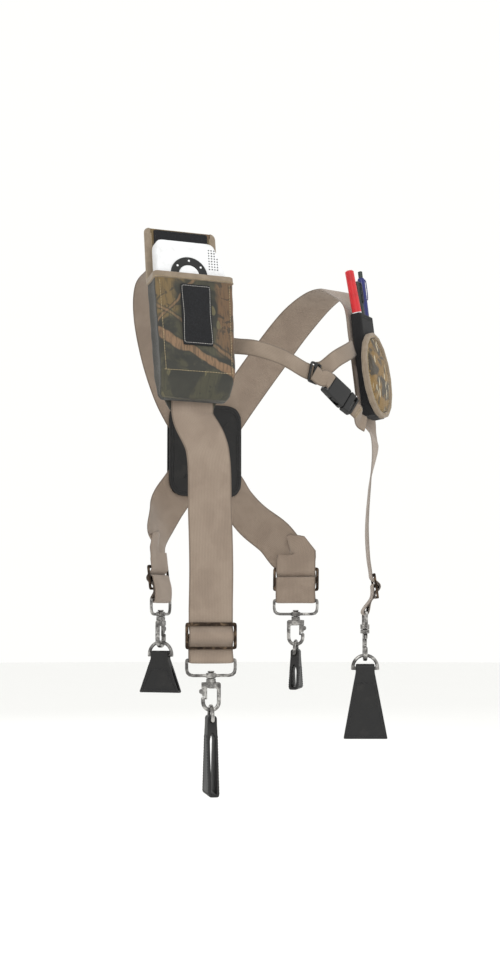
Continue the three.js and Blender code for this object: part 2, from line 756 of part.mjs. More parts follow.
placeIn(pouchHolder, handsetBody(), 0, handsetMiddle, 0);
const keyPlane = handsetMiddle - handsetThickness / 2;

function ringShape(outer, inner) {
  const shape = new THREE.Shape().absarc(0, 0, outer, 0, 2 * Math.PI, false);
  if (inner > 0) {
    shape.holes.push(new THREE.Path().absarc(0, 0, inner, 0, 2 * Math.PI, true));
  }
  return shape;
}

const ringPad = piece('handset_ring_pad',
  plate(ringShape(padRadius, padHole), padThickness, 0.4, 9), 'black_plastic');
placeIn(pouchHolder, ringPad, -4, keyPlane, panelTop);
const centreKey = piece('handset_centre_button',
  plate(ringShape(padHole - clearance, 0), padThickness, 0.4, 9), 'white_plastic');
placeIn(pouchHolder, centreKey, -4, keyPlane, panelTop);

// ---- Pen pocket ----

// An ellipse as a closed path.
function ellipse(width, height, path, clockwise = false) {
  return path.absellipse(0, 0, width / 2, height / 2, 0, 2 * Math.PI, clockwise, 0);
}

const ovalPlane = -sleeveDepth - clearance - ovalThickness / 2;
const panelAcross = ovalWidth - 2 * ovalBinding - 2 * clearance;
const panelTall = ovalHeight - 2 * ovalBinding - 2 * clearance;
const ovalPanel = plate(ellipse(panelAcross, panelTall, new THREE.Shape()), ovalThickness, 1, 8);
placeIn(penHolder, piece('pen_pocket_front', ovalPanel, 'camouflage'), 0, ovalPlane, 0);
const bindingShape = ellipse(ovalWidth, ovalHeight, new THREE.Shape());
bindingShape.holes.push(ellipse(ovalWidth - 2 * ovalBinding, ovalHeight - 2 * ovalBinding,
  new THREE.Path(), true));
const ovalTape = plate(bindingShape, ovalThickness + 1, 0.8, 8);
placeIn(penHolder, piece('pen_pocket_binding', ovalTape, 'binding'), 0, ovalPlane - 0.5, 0);

const sleeveHalf = sleeveWidth / 2;
const sleeve = shaped(
  [block(vector(-sleeveHalf, -sleeveDepth, -sleeveFoot), vector(sleeveHalf, 0, sleeveTop))],
  [block(
    vector(-sleeveHalf + sleeveWall, -sleeveDepth + sleeveWall, -sleeveFoot + sleeveWall),
    vector(sleeveHalf - sleeveWall, -sleeveWall, sleeveTop + 5),
  )],
);
placeIn(penHolder, piece('pen_sleeve', sleeve, 'black_fabric'), 0, 0, 0);

// A round body about Z from its profile of [radius, height] points, which starts and ends on
// the axis.
function turned(profile, sides = 12) {
  const points = profile.map(([radius, height]) => new THREE.Vector2(radius, height));
  const shell = new THREE.LatheGeometry(points, sides);
  return shell.rotateX(Math.PI / 2);
}

// Each pen stands in the sleeve's mouth at its own place and lean, with its origin there.
const penPlane = -sleeveDepth / 2;
const penStands = {
  marker: { across: -13.2, lean: 9, radius: 4.8, below: 36, above: 54, cap: 0.8 },
  black_pen: { across: 0.6, lean: 1.6, radius: 4, below: 100, above: 44 },
  blue_pen: { across: 12.6, lean: -0.4, radius: 4.5, below: 98, above: 60 },
};

function penHolderFor(stand) {
  const group = new THREE.Group();
  group.position.set(stand.across, penPlane, sleeveTop);
  group.rotation.y = -radians(stand.lean);
  penHolder.add(group);
  return group;
}

// The marker's barrel narrows to a neck that its cap slides over.
const markerStand = penHolderFor(penStands.marker);
const { radius: markerRadius, below: markerBelow, above: markerAbove } = penStands.marker;
const capRadius = markerRadius + penStands.marker.cap;
const capFoot = clearance + 1; // clear of the sleeve's rim, which the leaning cap stands over
const neck = markerRadius - 1.6;
const barrel = turned([
  [0, -markerBelow], [markerRadius - 1, -markerBelow], [markerRadius, -markerBelow + 1], [markerRadius, 0],
  [neck, 0], [neck, 26], [1.5, 34], [1.2, 38], [0, 38],
]);
placeIn(markerStand, piece('red_marker_barrel', barrel, 'white_plastic'), 0, 0, 0);
const bore = neck + clearance;
const cap = turned([
  [0, markerAbove - 4], [bore, markerAbove - 4], [bore, capFoot], [capRadius, capFoot],
  [capRadius - 0.3, markerAbove - 2], [capRadius - 1.4, markerAbove], [0, markerAbove],
]);
placeIn(markerStand, piece('red_marker_cap', cap, 'red_plastic'), 0, 0, 0);

const blackStand = penHolderFor(penStands.black_pen);
const { radius: blackRadius, below: blackBelow, above: blackAbove } = penStands.black_pen;
const blackPen = turned([
  [0, -blackBelow], [1, -blackBelow + 1], [blackRadius, -blackBelow + 14], [blackRadius, blackAbove - 3],
  [blackRadius - 1.4, blackAbove], [0, blackAbove],
]);
placeIn(blackStand, piece('black_pen', blackPen, 'pen_black'), 0, 0, 0);

// The blue pen's push button slides in a well in the top of its barrel.
const blueStand = penHolderFor(penStands.blue_pen);
const { radius: blueRadius, below: blueBelow, above: blueAbove } = penStands.blue_pen;
const well = blueRadius - 1.5;
const blueBarrel = turned([
  [0, -blueBelow], [1, -blueBelow + 1], [blueRadius, -blueBelow + 14], [blueRadius, blueAbove - 12],
  [blueRadius - 0.6, blueAbove - 9], [well, blueAbove - 9], [well, blueAbove - 22], [0, blueAbove - 22],
]);
placeIn(blueStand, piece('blue_pen_barrel', blueBarrel, 'blue_plastic'), 0, 0, 0);
const button = turned([
  [0, -8], [well - clearance, -8], [well - clearance, 8], [well - clearance - 0.8, 9], [0, 9],
]);
placeIn(blueStand, piece('blue_pen_button', button, 'pen_black'), 0, 0, blueAbove - 9);

// ---- Sternum strap and buckle ----
// The buckle's frame has X along the strap towards the plug, Y towards the wearer, and its
// origin at the closed end of the socket.

const buckleHolder = holder([34, -119, -136], 5, 6, 38);
const mouth = socketLength;
const wall = 2.3;
const cavityHalf = buckleWidth / 2 - wall;
const cavityDeep = buckleThickness / 2 - 1.5;
const webBar = 3;
const webSlot = 3;
const slotHalf = sternumWidth / 2 + webbingSideClearance;
const windowFrom = 8.5;
const windowTo = mouth - 5.5;

function socket() {
  const half = buckleWidth / 2;
  const shape = outline([[-webBar - webSlot, -half + 1, 2], [mouth, -half, 3], [mouth, half, 3],
    [-webBar - webSlot, half - 1, 2]]);
  const removed = [
    block(vector(5, -cavityDeep, -cavityHalf), vector(mouth + 1, cavityDeep, cavityHalf)),
    block(vector(windowFrom, -cavityDeep, -half - 1), vector(windowTo, cavityDeep, half + 1)),
    block(vector(-webSlot, -buckleThickness, -slotHalf), vector(0, buckleThickness, slotHalf)),
  ];
  return piece('buckle_socket', shaped([plate(shape, buckleThickness, 1, 2)], removed), 'black_plastic');
}

placeIn(buckleHolder, socket(), 0, 0, 0);

// The plug's origin is at the socket's mouth. Its two prongs turn in notches in its base.
const prongPivotDepth = 4;
const prongOffset = 7.6;
const notchHalf = 3.4;
const notchDepth = prongPivotDepth + 2.8;
const tongueHalf = 2;
const headRecess = 1.1; // how far the prongs' heads stay inside the socket's sides
const innerDeep = cavityDeep - clearance;
const prongReach = 18; // from the socket's mouth to the prong's tip

function plug() {
  const half = buckleWidth / 2;
  const base = outline([
    [clearance, -half, 2], [plugBaseLength, -half + 2, 2], [plugBaseLength, half - 2, 2],
    [clearance, half, 2],
  ]);
  const tongue = block(vector(6 - mouth, -innerDeep, -tongueHalf), vector(2, innerDeep, tongueHalf));
  const slotFrom = plugBaseLength - webBar - webSlot;
  const webOpening = block(
    vector(slotFrom, -buckleThickness, -slotHalf),
    vector(slotFrom + webSlot, buckleThickness, slotHalf),
  );
  const notches = [-1, 1].map((side) => block(
    vector(-1, -innerDeep - clearance, side * prongOffset - notchHalf),
    vector(notchDepth, innerDeep + clearance, side * prongOffset + notchHalf),
  ));
  const body = shaped([plate(base, buckleThickness, 1, 2), tongue], [webOpening, ...notches]);
  return piece('buckle_plug', body, 'black_plastic');
}

placeIn(buckleHolder, plug(), mouth, 0, 0);

// A sprung prong, drawn along -X from its pivot, with a low ramp that shows in the socket's
// side window. The side is 1 for the upper prong and -1 for the lower one.
function prong(name, side) {
  const reach = prongPivotDepth + prongReach;
  const outerFace = cavityHalf - clearance - prongOffset;
  const head = buckleWidth / 2 - headRecess - prongOffset;
  const rampEnd = windowTo - mouth - prongPivotDepth;
  const corners = [
    [2, -2, 1.2], [-reach, -1.6, 0.8], [-reach, outerFace - 0.6, 0.8], [-reach + 2, head, 0.5],
    [rampEnd - 0.5, outerFace, 1], [2, 2, 1.2],
  ];
  const facing = side > 0 ? corners : corners.map(([x, z, radius]) => [x, -z, radius]).reverse();
  return piece(name, plate(outline(facing), 2 * innerDeep - clearance, 0, 2), 'black_plastic');
}

placeIn(buckleHolder, prong('buckle_prong_upper', 1), mouth + prongPivotDepth, 0, prongOffset);
placeIn(buckleHolder, prong('buckle_prong_lower', -1), mouth + prongPivotDepth, 0, -prongOffset);

// The keeper joins the right strap, the socket's short tab and the upper branch.
const keeperHolder = holder([12, -120.5, -124], 2, 6, 16);
const keeperWidth = 15;
const keeperHeight = sternumWidth + 6;
const keeperThickness = 3.2;
const keeperShape = outline([
  [-keeperWidth / 2, -keeperHeight / 2, 3], [keeperWidth / 2, -keeperHeight / 2, 3],
  [keeperWidth / 2, keeperHeight / 2, 3], [-keeperWidth / 2, keeperHeight / 2, 3],
]);
for (const side of [-1, 1]) {
  const middle = side * (keeperWidth / 4 - 0.4);
  const slot = [
    [middle - 1.6, -slotHalf, 0.8], [middle + 1.6, -slotHalf, 0.8],
    [middle + 1.6, slotHalf, 0.8], [middle - 1.6, slotHalf, 0.8],
  ];
  keeperShape.holes.push(outline(slot.reverse(), new THREE.Path()));
}
placeIn(keeperHolder, piece('sternum_keeper', plate(keeperShape, keeperThickness, 0.6, 2),
  'black_plastic'), 0, 0, 0);

function sternumStrap(name, guides) {
  const stations = guided(guides, spanSteps);
  vest.add(piece(name, strap(stations, sternumWidth, sternumThickness), 'webbing'));
}

const keeperBack = keeperThickness / 2 + clearance + sternumThickness / 2;
const socketBack = buckleThickness / 2 + clearance + sternumThickness / 2;
const panelEdge = chestPanelWidth / 2 + 3 * clearance;

sternumStrap('sternum_right_strap', [
  guideIn(pouchHolder, panelEdge, chestPanelThickness / 2, 3),
  guideIn(pouchHolder, panelEdge + 22, chestPanelThickness / 2 - 2, 1),
  [-62, -108, -99, -0.2, -0.97, 0.15],
  [-30, -117, -108, -0.1, -0.98, 0.16],
  guideIn(keeperHolder, -12, keeperBack, 0),
  guideIn(keeperHolder, -0.6, keeperBack, 0),
]);

sternumStrap('sternum_upper_strap', [
  guideIn(keeperHolder, 3, keeperBack, 5),
  guideIn(keeperHolder, 12, keeperBack + 2 * clearance, 10),
  [46, -114, -104, 0.2, -0.96, 0.15],
  [70, -104, -92, 0.4, -0.9, 0.2],
  [88, -88, -84, 0.55, -0.8, 0.2],
]);

sternumStrap('sternum_socket_tab', [
  guideIn(keeperHolder, -2, -keeperBack, -1),
  guideIn(keeperHolder, 8, -keeperBack - 0.4, -4),
  guideIn(buckleHolder, -9, -socketBack - 0.4, 0),
  guideIn(buckleHolder, -2, -socketBack - 0.2, 0),
]);

const plugEnd = mouth + plugBaseLength;

sternumStrap('sternum_lower_strap', [
  guideIn(buckleHolder, plugEnd + clearance, 0, 0),
  guideIn(buckleHolder, plugEnd + 8, 0, 0),
  [80, -111, -174, 0.2, -0.97, 0.1],
  [90, -109, -178, 0.3, -0.95, 0.06],
]);

export default vest;
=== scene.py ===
"""Field harness vest with a handset pouch, a pen pocket and four hanging snap ends.

Metres, in the frame of the CAD part: the wearer faces -Y, +Z is up, and the origin is midway
between the places where the straps rest on the shoulders.
"""

import json
import logging
from dataclasses import dataclass, field
from enum import Enum
from typing import Any, Sequence

import bpy
import numpy as np
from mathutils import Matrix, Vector

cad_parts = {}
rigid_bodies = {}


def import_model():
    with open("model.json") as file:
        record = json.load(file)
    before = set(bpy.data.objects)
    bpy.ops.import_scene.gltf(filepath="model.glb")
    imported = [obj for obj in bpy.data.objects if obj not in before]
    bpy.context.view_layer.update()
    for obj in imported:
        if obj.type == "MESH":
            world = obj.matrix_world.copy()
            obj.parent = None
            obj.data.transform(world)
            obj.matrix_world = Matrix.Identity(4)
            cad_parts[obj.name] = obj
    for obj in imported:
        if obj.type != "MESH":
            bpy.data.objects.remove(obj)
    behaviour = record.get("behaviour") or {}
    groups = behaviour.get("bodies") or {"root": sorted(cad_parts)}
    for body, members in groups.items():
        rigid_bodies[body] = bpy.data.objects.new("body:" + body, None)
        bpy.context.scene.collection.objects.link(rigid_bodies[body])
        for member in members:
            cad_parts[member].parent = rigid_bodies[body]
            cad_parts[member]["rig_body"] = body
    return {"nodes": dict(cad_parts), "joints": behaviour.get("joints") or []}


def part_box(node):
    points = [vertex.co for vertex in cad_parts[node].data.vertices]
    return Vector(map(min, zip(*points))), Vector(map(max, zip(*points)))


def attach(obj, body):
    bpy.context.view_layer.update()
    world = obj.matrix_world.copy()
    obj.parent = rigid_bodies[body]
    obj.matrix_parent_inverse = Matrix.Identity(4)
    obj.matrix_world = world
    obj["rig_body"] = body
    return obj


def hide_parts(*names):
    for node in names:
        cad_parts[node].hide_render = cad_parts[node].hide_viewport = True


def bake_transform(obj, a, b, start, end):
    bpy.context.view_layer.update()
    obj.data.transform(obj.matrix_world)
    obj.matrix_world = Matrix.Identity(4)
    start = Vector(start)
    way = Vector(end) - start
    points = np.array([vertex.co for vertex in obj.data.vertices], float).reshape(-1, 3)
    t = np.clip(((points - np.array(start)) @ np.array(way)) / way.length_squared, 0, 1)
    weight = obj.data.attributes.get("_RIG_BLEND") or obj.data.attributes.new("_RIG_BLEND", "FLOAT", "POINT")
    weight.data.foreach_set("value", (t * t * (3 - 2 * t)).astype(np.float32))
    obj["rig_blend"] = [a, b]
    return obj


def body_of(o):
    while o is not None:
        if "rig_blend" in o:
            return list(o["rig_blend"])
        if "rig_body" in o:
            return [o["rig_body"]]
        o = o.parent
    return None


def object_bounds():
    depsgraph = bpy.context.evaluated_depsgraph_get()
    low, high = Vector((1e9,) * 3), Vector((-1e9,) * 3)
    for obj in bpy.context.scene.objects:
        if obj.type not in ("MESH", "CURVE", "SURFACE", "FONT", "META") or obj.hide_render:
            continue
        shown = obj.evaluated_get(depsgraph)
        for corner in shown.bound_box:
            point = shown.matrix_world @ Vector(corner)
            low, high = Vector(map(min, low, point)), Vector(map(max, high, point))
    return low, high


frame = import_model()
CAD_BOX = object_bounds()
MM = 0.001
TAU = 2 * np.pi
log = logging.getLogger("harness")

Array = np.ndarray
Object = bpy.types.Object


# ---------------------------------------------------------------- shader maths


def rgb(red: float, green: float, blue: float) -> tuple[float, float, float, float]:
    """Return a display colour of 0 to 255 as linear red, green, blue and alpha."""
    shares = np.array([red, green, blue]) / 255
    linear = np.where(shares <= 0.04045, shares / 12.92, ((shares + 0.055) / 1.055) ** 2.4)
    return (*map(float, linear), 1.0)


class Socket:
    """An output socket whose operators add Math nodes."""

    def __init__(self, graph: "Graph", link: bpy.types.NodeSocket) -> None:
        """Keep the graph and the output that later nodes link to."""
        self.graph = graph
        self.link = link

    def _maths(self, operation: str, *values: Any) -> "Socket":
        """Add one Math node of the operation on these values."""
        made = self.graph.add("ShaderNodeMath", {"operation": operation}, dict(enumerate(values)))
        return made["Value"]

    def __add__(self, other: Any) -> "Socket":
        """Return self + other."""
        return self._maths("ADD", self, other)

    __radd__ = __add__

    def __sub__(self, other: Any) -> "Socket":
        """Return self - other."""
        return self._maths("SUBTRACT", self, other)

    def __rsub__(self, other: Any) -> "Socket":
        """Return other - self."""
        return self._maths("SUBTRACT", other, self)

    def __mul__(self, other: Any) -> "Socket":
        """Return self * other."""
        return self._maths("MULTIPLY", self, other)

    __rmul__ = __mul__

    def __truediv__(self, other: Any) -> "Socket":
        """Return self / other."""
        return self._maths("DIVIDE", self, other)

    def wave(self) -> "Socket":
        """Return the sine."""
        return self._maths("SINE", self)

    def size(self) -> "Socket":
        """Return the distance from zero."""
        return self._maths("ABSOLUTE", self)

    def over(self, edge: float, soft: float) -> "Socket":
        """Return a mask that rises from 0 to 1 across an edge.

        Args:
            edge: The value at which the mask is a half.
            soft: The width of the rise.
        """
        settings = {"interpolation_type": "SMOOTHSTEP"}
        values = {"Value": self, "From Min": edge - soft / 2, "From Max": edge + soft / 2}
        return self.graph.add("ShaderNodeMapRange", settings, values)["Result"]


class Outputs:
    """The outputs of one node, found by name."""

    def __init__(self, graph: "Graph", node: bpy.types.Node) -> None:
        """Keep the node."""
        self.graph = graph
        self.node = node

    def __getitem__(self, name: str | int) -> Socket:
        """Return the enabled output of that name, or the output at that place."""
        if isinstance(name, int):
            return Socket(self.graph, self.node.outputs[name])
        found = [out for out in self.node.outputs if out.name == name and out.enabled]
        return Socket(self.graph, found[0])


class Graph:
    """A material's node tree, with one method that adds any node."""

    def __init__(self, name: str) -> None:
        """Start a material of that name with an empty tree."""
        self.material = bpy.data.materials.new(name)
        self.material.use_nodes = True
        self.tree = self.material.node_tree
        self.tree.nodes.clear()

    def add(self, kind: str, settings: dict[str, Any], values: dict[Any, Any]) -> Outputs:
        """Add a node, set it up, and then fill its sockets.

        Args:
            kind: The node's type.
            settings: Attributes of the node; `stops` holds a ramp's places and colours.
            values: Numbers, colours or Sockets by input name or place.

        Returns:
            The node's outputs.
        """
        node = self.tree.nodes.new(kind)
        for name, setting in settings.items():
            if name == "stops":
                self._fill_ramp(node.color_ramp, setting)
            else:
                setattr(node, name, setting)
        for name, value in values.items():
            if isinstance(name, int):
                target = node.inputs[name]
            else:
                target = [slot for slot in node.inputs if slot.name == name and slot.enabled][0]
            if isinstance(value, Socket):
                self.tree.links.new(value.link, target)
            else:
                target.default_value = value
        return Outputs(self, node)

    @staticmethod
    def _fill_ramp(ramp: bpy.types.ColorRamp, stops: Sequence[tuple[float, tuple]]) -> None:
        """Give a colour ramp these stops of place and colour."""
        while len(ramp.elements) < len(stops):
            ramp.elements.new(1.0)
        for element, (place, colour) in zip(ramp.elements, stops):
            element.position = place
            element.color = colour

    def place(self) -> Socket:
        """Return the object coordinates in metres."""
        return self.add("ShaderNodeTexCoord", {}, {})["Object"]

    def surface(self) -> tuple[Socket, Socket, Socket]:
        """Return the cloth's own coordinates in metres: the vector, across and along."""
        vector = self.add("ShaderNodeUVMap", {"uv_map": CLOTH_MAP}, {})["UV"]
        split = self.add("ShaderNodeSeparateXYZ", {}, {"Vector": vector})
        return vector, split["X"], split["Y"]

    def moved(self, vector: Socket, scale: Sequence[float], turn: Sequence[float] = (0, 0, 0)) -> Socket:
        """Return the vector scaled and turned, with turn in radians."""
        values = {"Vector": vector, "Scale": tuple(scale), "Rotation": tuple(turn)}
        return self.add("ShaderNodeMapping", {}, values)["Vector"]

    def noise(self, vector: Socket, scale: float, detail: float = 3, bent: float = 0) -> Socket:
        """Return fractal noise of 0 to 1 with this many cycles to a unit."""
        values = {"Vector": vector, "Scale": scale, "Detail": detail, "Distortion": bent}
        return self.add("ShaderNodeTexNoise", {}, values)[0]

    def mix(self, share: Any, first: Any, second: Any, blend: str = "MIX") -> Socket:
        """Return the first colour with this share of the second mixed in."""
        settings = {"data_type": "RGBA", "blend_type": blend}
        return self.add("ShaderNodeMix", settings, {"Factor": share, "A": first, "B": second})["Result"]

    def bump(self, height: Socket, distance: float, strength: float = 1.0) -> Socket:
        """Return a normal from a height of 0 to 1 that stands for this many metres."""
        values = {"Height": height, "Distance": distance, "Strength": strength}
        return self.add("ShaderNodeBump", {}, values)["Normal"]

    def finish(self, values: dict[str, Any]) -> bpy.types.Material:
        """Close the tree with a Principled shader that has these inputs."""
        shader = self.add("ShaderNodeBsdfPrincipled", {}, values)["BSDF"]
        self.add("ShaderNodeOutputMaterial", {}, {"Surface": shader})
        return self.material


CLOTH_MAP = "cloth"
SCAN_ROWS = 90  # levels at which a bag's outline is read
DOME_ROWS, DOME_SIDES = 5, 10


# ---------------------------------------------------------------- finishes


@dataclass(frozen=True)
class Webbing:
    """Flat woven nylon with raised warp yarns."""

    colour: tuple = rgb(146, 129, 114)
    shade: tuple = rgb(88, 75, 64)
    pale: tuple = rgb(168, 152, 136)
    half_width: float = 25 * MM
    yarn: float = 1.7 * MM
    pick: float = 2.3 * MM

    def made(self, name: str) -> bpy.types.Material:
        """Build it: yarns are sin(across + a wobble of sin(along)), crossed by finer picks.

        Args:
            name: The material's name.
        """
        g = Graph(name)
        _, across, along = g.surface()
        wobble = (along * (TAU / self.pick)).wave()
        yarns = (across * (TAU / self.yarn) + wobble * 0.9).wave()
        picks = (along * (2 * TAU / self.pick) + across * (TAU / self.yarn / 2)).wave()
        height = yarns * 0.34 + picks * 0.16 + 0.5
        wear = g.noise(g.place(), 38, 5, 0.4)
        fibres = g.noise(g.moved(g.place(), (1500, 1500, 500)), 1, 2)
        worn = g.mix(wear.over(0.55, 0.35) * 0.45, self.colour, self.pale)
        edge = across.size().over(self.half_width - 1.6 * MM, 1.6 * MM)
        # Painted shade: the colour darkens towards the shade tone in the hollows between the yarns, where the bump also
        # sinks. It also darkens along both selvedges, and a little in patches of the wear noise.
        dark = edge * 0.5 + (1 - height) * 0.42 + (1 - wear.over(0.42, 0.3)) * 0.1
        colour = g.mix(dark, worn, self.shade)
        colour = g.mix(fibres * 0.18, colour, self.pale)
        return g.finish({
            "Base Color": colour,
            "Roughness": 0.78 + wear * 0.18,
            "Normal": g.bump(height + fibres * 0.2, 0.28 * MM, 0.8),
            "Sheen Weight": 0.25,
            "Sheen Roughness": 0.5,
        })


@dataclass(frozen=True)
class Tape:
    """Narrow binding tape, ribbed across its length."""

    colour: tuple = rgb(156, 141, 122)
    shade: tuple = rgb(102, 88, 72)

    def made(self, name: str) -> bpy.types.Material:
        """Build it: ribs are sin(along) with a slow noise over the colour.

        Args:
            name: The material's name.
        """
        g = Graph(name)
        _, across, along = g.surface()
        ribs = (along * (TAU / (0.9 * MM))).wave() * 0.5 + 0.5
        grain = (across * (TAU / (1.4 * MM)) + ribs * 1.5).wave() * 0.5 + 0.5
        wear = g.noise(g.place(), 120, 4, 0.3)
        # Painted shade: the colour darkens towards the shade tone in the troughs of the ribs and the grain, where the
        # bump also sinks.
        colour = g.mix((1 - ribs) * 0.35 + (1 - grain) * 0.2, self.colour, self.shade)
        colour = g.mix(wear.over(0.45, 0.4) * 0.35, colour, self.shade)
        return g.finish({
            "Base Color": colour,
            "Roughness": 0.8 + wear * 0.15,
            "Normal": g.bump(ribs * 0.7 + grain * 0.3, 0.2 * MM, 0.7),
            "Sheen Weight": 0.2,
        })


class Print(Enum):
    """The two camouflage prints."""

    BARK = "bark"
    LEAF = "leaf"


@dataclass(frozen=True)
class Camouflage:
    """Printed woven cloth: layers of bark, branches and leaves made from noise."""

    print: Print
    ground: tuple = rgb(122, 98, 58)
    moss: tuple = rgb(62, 60, 44)
    gloom: tuple = rgb(28, 30, 28)
    brown: tuple = rgb(108, 80, 54)
    branch: tuple = rgb(158, 124, 94)
    cream: tuple = rgb(226, 216, 188)

    def _leaves(self, g: Graph, vector: Socket, turn: float, scale: Sequence[float]) -> tuple[Socket, Socket]:
        """Return a mask of long pointed spots that lean by a turn, and a random value for each.

        Args:
            g: The material's graph.
            vector: The cloth's own flat coordinates.
            turn: Radians that the leaves turn.
            scale: Leaves to a metre.
        """
        bend = g.noise(vector, 55, 2)
        leaning = g.moved(vector, scale, (0, 0, turn))
        split = g.add("ShaderNodeSeparateXYZ", {}, {"Vector": leaning})
        curved = g.add("ShaderNodeCombineXYZ", {}, {"X": split["X"] + bend * 0.9, "Y": split["Y"], "Z": 0.0})
        cells = g.add("ShaderNodeTexVoronoi", {}, {"Vector": curved["Vector"], "Scale": 1.0, "Randomness": 0.85})
        pick = g.add("ShaderNodeSeparateColor", {}, {"Color": cells["Color"]})["Red"]
        return 1 - cells["Distance"].over(0.3, 0.07), pick

    def _bark(self, g: Graph, vector: Socket, across: Socket, up: Socket) -> Socket:
        """Return bark: ochre and gloom in broad patches, a brown trunk at one side, and pale limbs.

        A limb is a band about the line up = slope x across + rise, bent by slow noise.

        Args:
            g: The material's graph.
            vector: The cloth's own flat coordinates.
            across: The flat coordinate across.
            up: The flat coordinate upwards.
        """
        slow = g.noise(vector, 26, 3, 0.8)
        grain = g.noise(g.moved(vector, (520, 60, 1)), 1, 4, 0.6)
        colour = g.mix(slow.over(0.47, 0.1), self.gloom, self.moss)
        high = up * 5.5 - across * 7.5 + slow * 0.8
        colour = g.mix(high.over(0.72, 0.16) * 0.9, colour, self.ground)
        trunk = (across + slow * 18 * MM).over(31 * MM, 5 * MM) * (up + slow * 40 * MM).over(-24 * MM, 26 * MM)
        colour = g.mix(trunk, colour, self.brown)
        colour = g.mix(g.noise(vector, 70, 4, 1.4).over(0.6, 0.05) * 0.7, colour, self.gloom)
        mask, pick = self._leaves(g, vector, 0.5, (95, 48, 1))
        colour = g.mix(mask * pick.over(0.72, 0.04) * 0.7, colour, rgb(112, 104, 72))
        bent = (g.noise(vector, 24, 3) - 0.5) * 26 * MM
        for slope, rise, half, share in ((-0.5, -47, 6.2, 0.95), (1.15, 45, 1.8, 0.8), (-0.72, -22, 2.0, 0.5)):
            line = (up - across * slope + bent - rise * MM).size()
            edge = line.over(half * MM, 2.4 * MM)
            lit = g.mix(grain, self.branch, self.brown)
            shadow = (line - half * MM).size().over(2.6 * MM, 2 * MM)
            colour = g.mix((1 - shadow) * edge * 0.6, colour, self.gloom)
            colour = g.mix((1 - edge) * share, colour, lit)
        colour = g.mix(grain.over(0.56, 0.2) * 0.45, colour, self.gloom)
        return g.mix(across.size().over(47.5 * MM, 1 * MM), colour, rgb(16, 16, 17))

    def _leaf(self, g: Graph, vector: Socket) -> Socket:
        """Return leaf litter: cream and dark pointed leaves over yellow brown.

        Args:
            g: The material's graph.
            vector: The cloth's own flat coordinates.
        """
        colour = g.mix(g.noise(vector, 42, 4, 0.6).over(0.5, 0.1), rgb(134, 102, 44), rgb(58, 48, 34))
        for turn, scale, tint, share in (
            (0.5, (150, 46, 1), rgb(30, 28, 22), 0.4),
            (-0.9, (190, 50, 1), rgb(160, 128, 64), 0.5),
            (0.7, (210, 44, 1), self.cream, 0.5),
            (-0.75, (240, 50, 1), self.cream, 0.56),
        ):
            mask, pick = self._leaves(g, vector, turn, scale)
            vein = g.noise(g.moved(vector, (900, 200, 1), (0, 0, turn)), 1, 2)
            colour = g.mix(mask * pick.over(share, 0.05), colour, g.mix(vein * 0.5, tint, rgb(92, 74, 46)))
        return colour

    def made(self, name: str) -> bpy.types.Material:
        """Build it: the print, over a plain weave of sin(across) times sin(along).

        Args:
            name: The material's name.
        """
        g = Graph(name)
        vector, across, up = g.surface()
        drawn = self._bark(g, vector, across, up) if self.print is Print.BARK else self._leaf(g, vector)
        weave = (across * (TAU / (0.9 * MM))).wave() * (up * (TAU / (0.9 * MM))).wave() * 0.5 + 0.5
        fade = g.noise(g.place(), 30, 4)
        # Painted shade: the colour darkens towards gloom in the hollows of the weave, where the bump also sinks.
        colour = g.mix((1 - weave) * 0.28, drawn, self.gloom)
        return g.finish({
            "Base Color": g.mix(fade * 0.16, colour, rgb(150, 146, 130)),
            "Roughness": 0.8 + fade * 0.15,
            "Normal": g.bump(weave, 0.16 * MM, 0.7),
            "Sheen Weight": 0.15,
        })


@dataclass(frozen=True)
class Cloth:
    """Plain dark cloth: a tight weave, or a looped pile when the pile is tall."""

    colour: tuple
    pale: tuple
    pile: float = 0.12 * MM
    grain: float = 1500

    def made(self, name: str) -> bpy.types.Material:
        """Build it: fine noise stands up as the pile, and a slower noise mats it down.

        Args:
            name: The material's name.
        """
        g = Graph(name)
        vector = g.place()
        fine = g.noise(vector, self.grain, 3)
        matted = g.noise(vector, 90, 4, 0.6)
        height = fine * 0.8 + matted * 0.5
        # Painted light and shade: the colour is paler where the pile stands high and darker where it lies low, from the
        # same fine and matted noise that raises the bump.
        colour = g.mix(fine.over(0.56, 0.25) * 0.6 + matted * 0.15, self.colour, self.pale)
        return g.finish({
            "Base Color": colour,
            "Roughness": 0.84 + matted * 0.14,
            "Normal": g.bump(height, self.pile, 0.9),
            "Sheen Weight": 0.06,
            "Sheen Roughness": 0.5,
        })


@dataclass(frozen=True)
class Leather:
    """Black finished leather with a pebbled grain and scuffed high places."""

    colour: tuple = rgb(11, 11, 12)
    scuff: tuple = rgb(40, 38, 36)

    def made(self, name: str) -> bpy.types.Material:
        """Build it: cell distance gives the pebbles, and noise gives creases and scuffs.

        Args:
            name: The material's name.
        """
        g = Graph(name)
        vector = g.place()
        cells = g.add("ShaderNodeTexVoronoi", {"feature": "SMOOTH_F1"}, {"Vector": vector, "Scale": 850.0})
        crease = g.noise(g.moved(vector, (1, 1, 2.4)), 120, 6, 1.1)
        scuffs = g.noise(vector, 46, 6, 0.3)
        height = (1 - cells["Distance"]) * 0.5 + crease * 0.7
        return g.finish({
            "Base Color": g.mix(scuffs.over(0.6, 0.2) * 0.6 + crease * 0.12, self.colour, self.scuff),
            "Roughness": 0.42 + scuffs * 0.3,
            "Normal": g.bump(height, 0.22 * MM, 0.8),
            "Specular IOR Level": 0.45,
        })


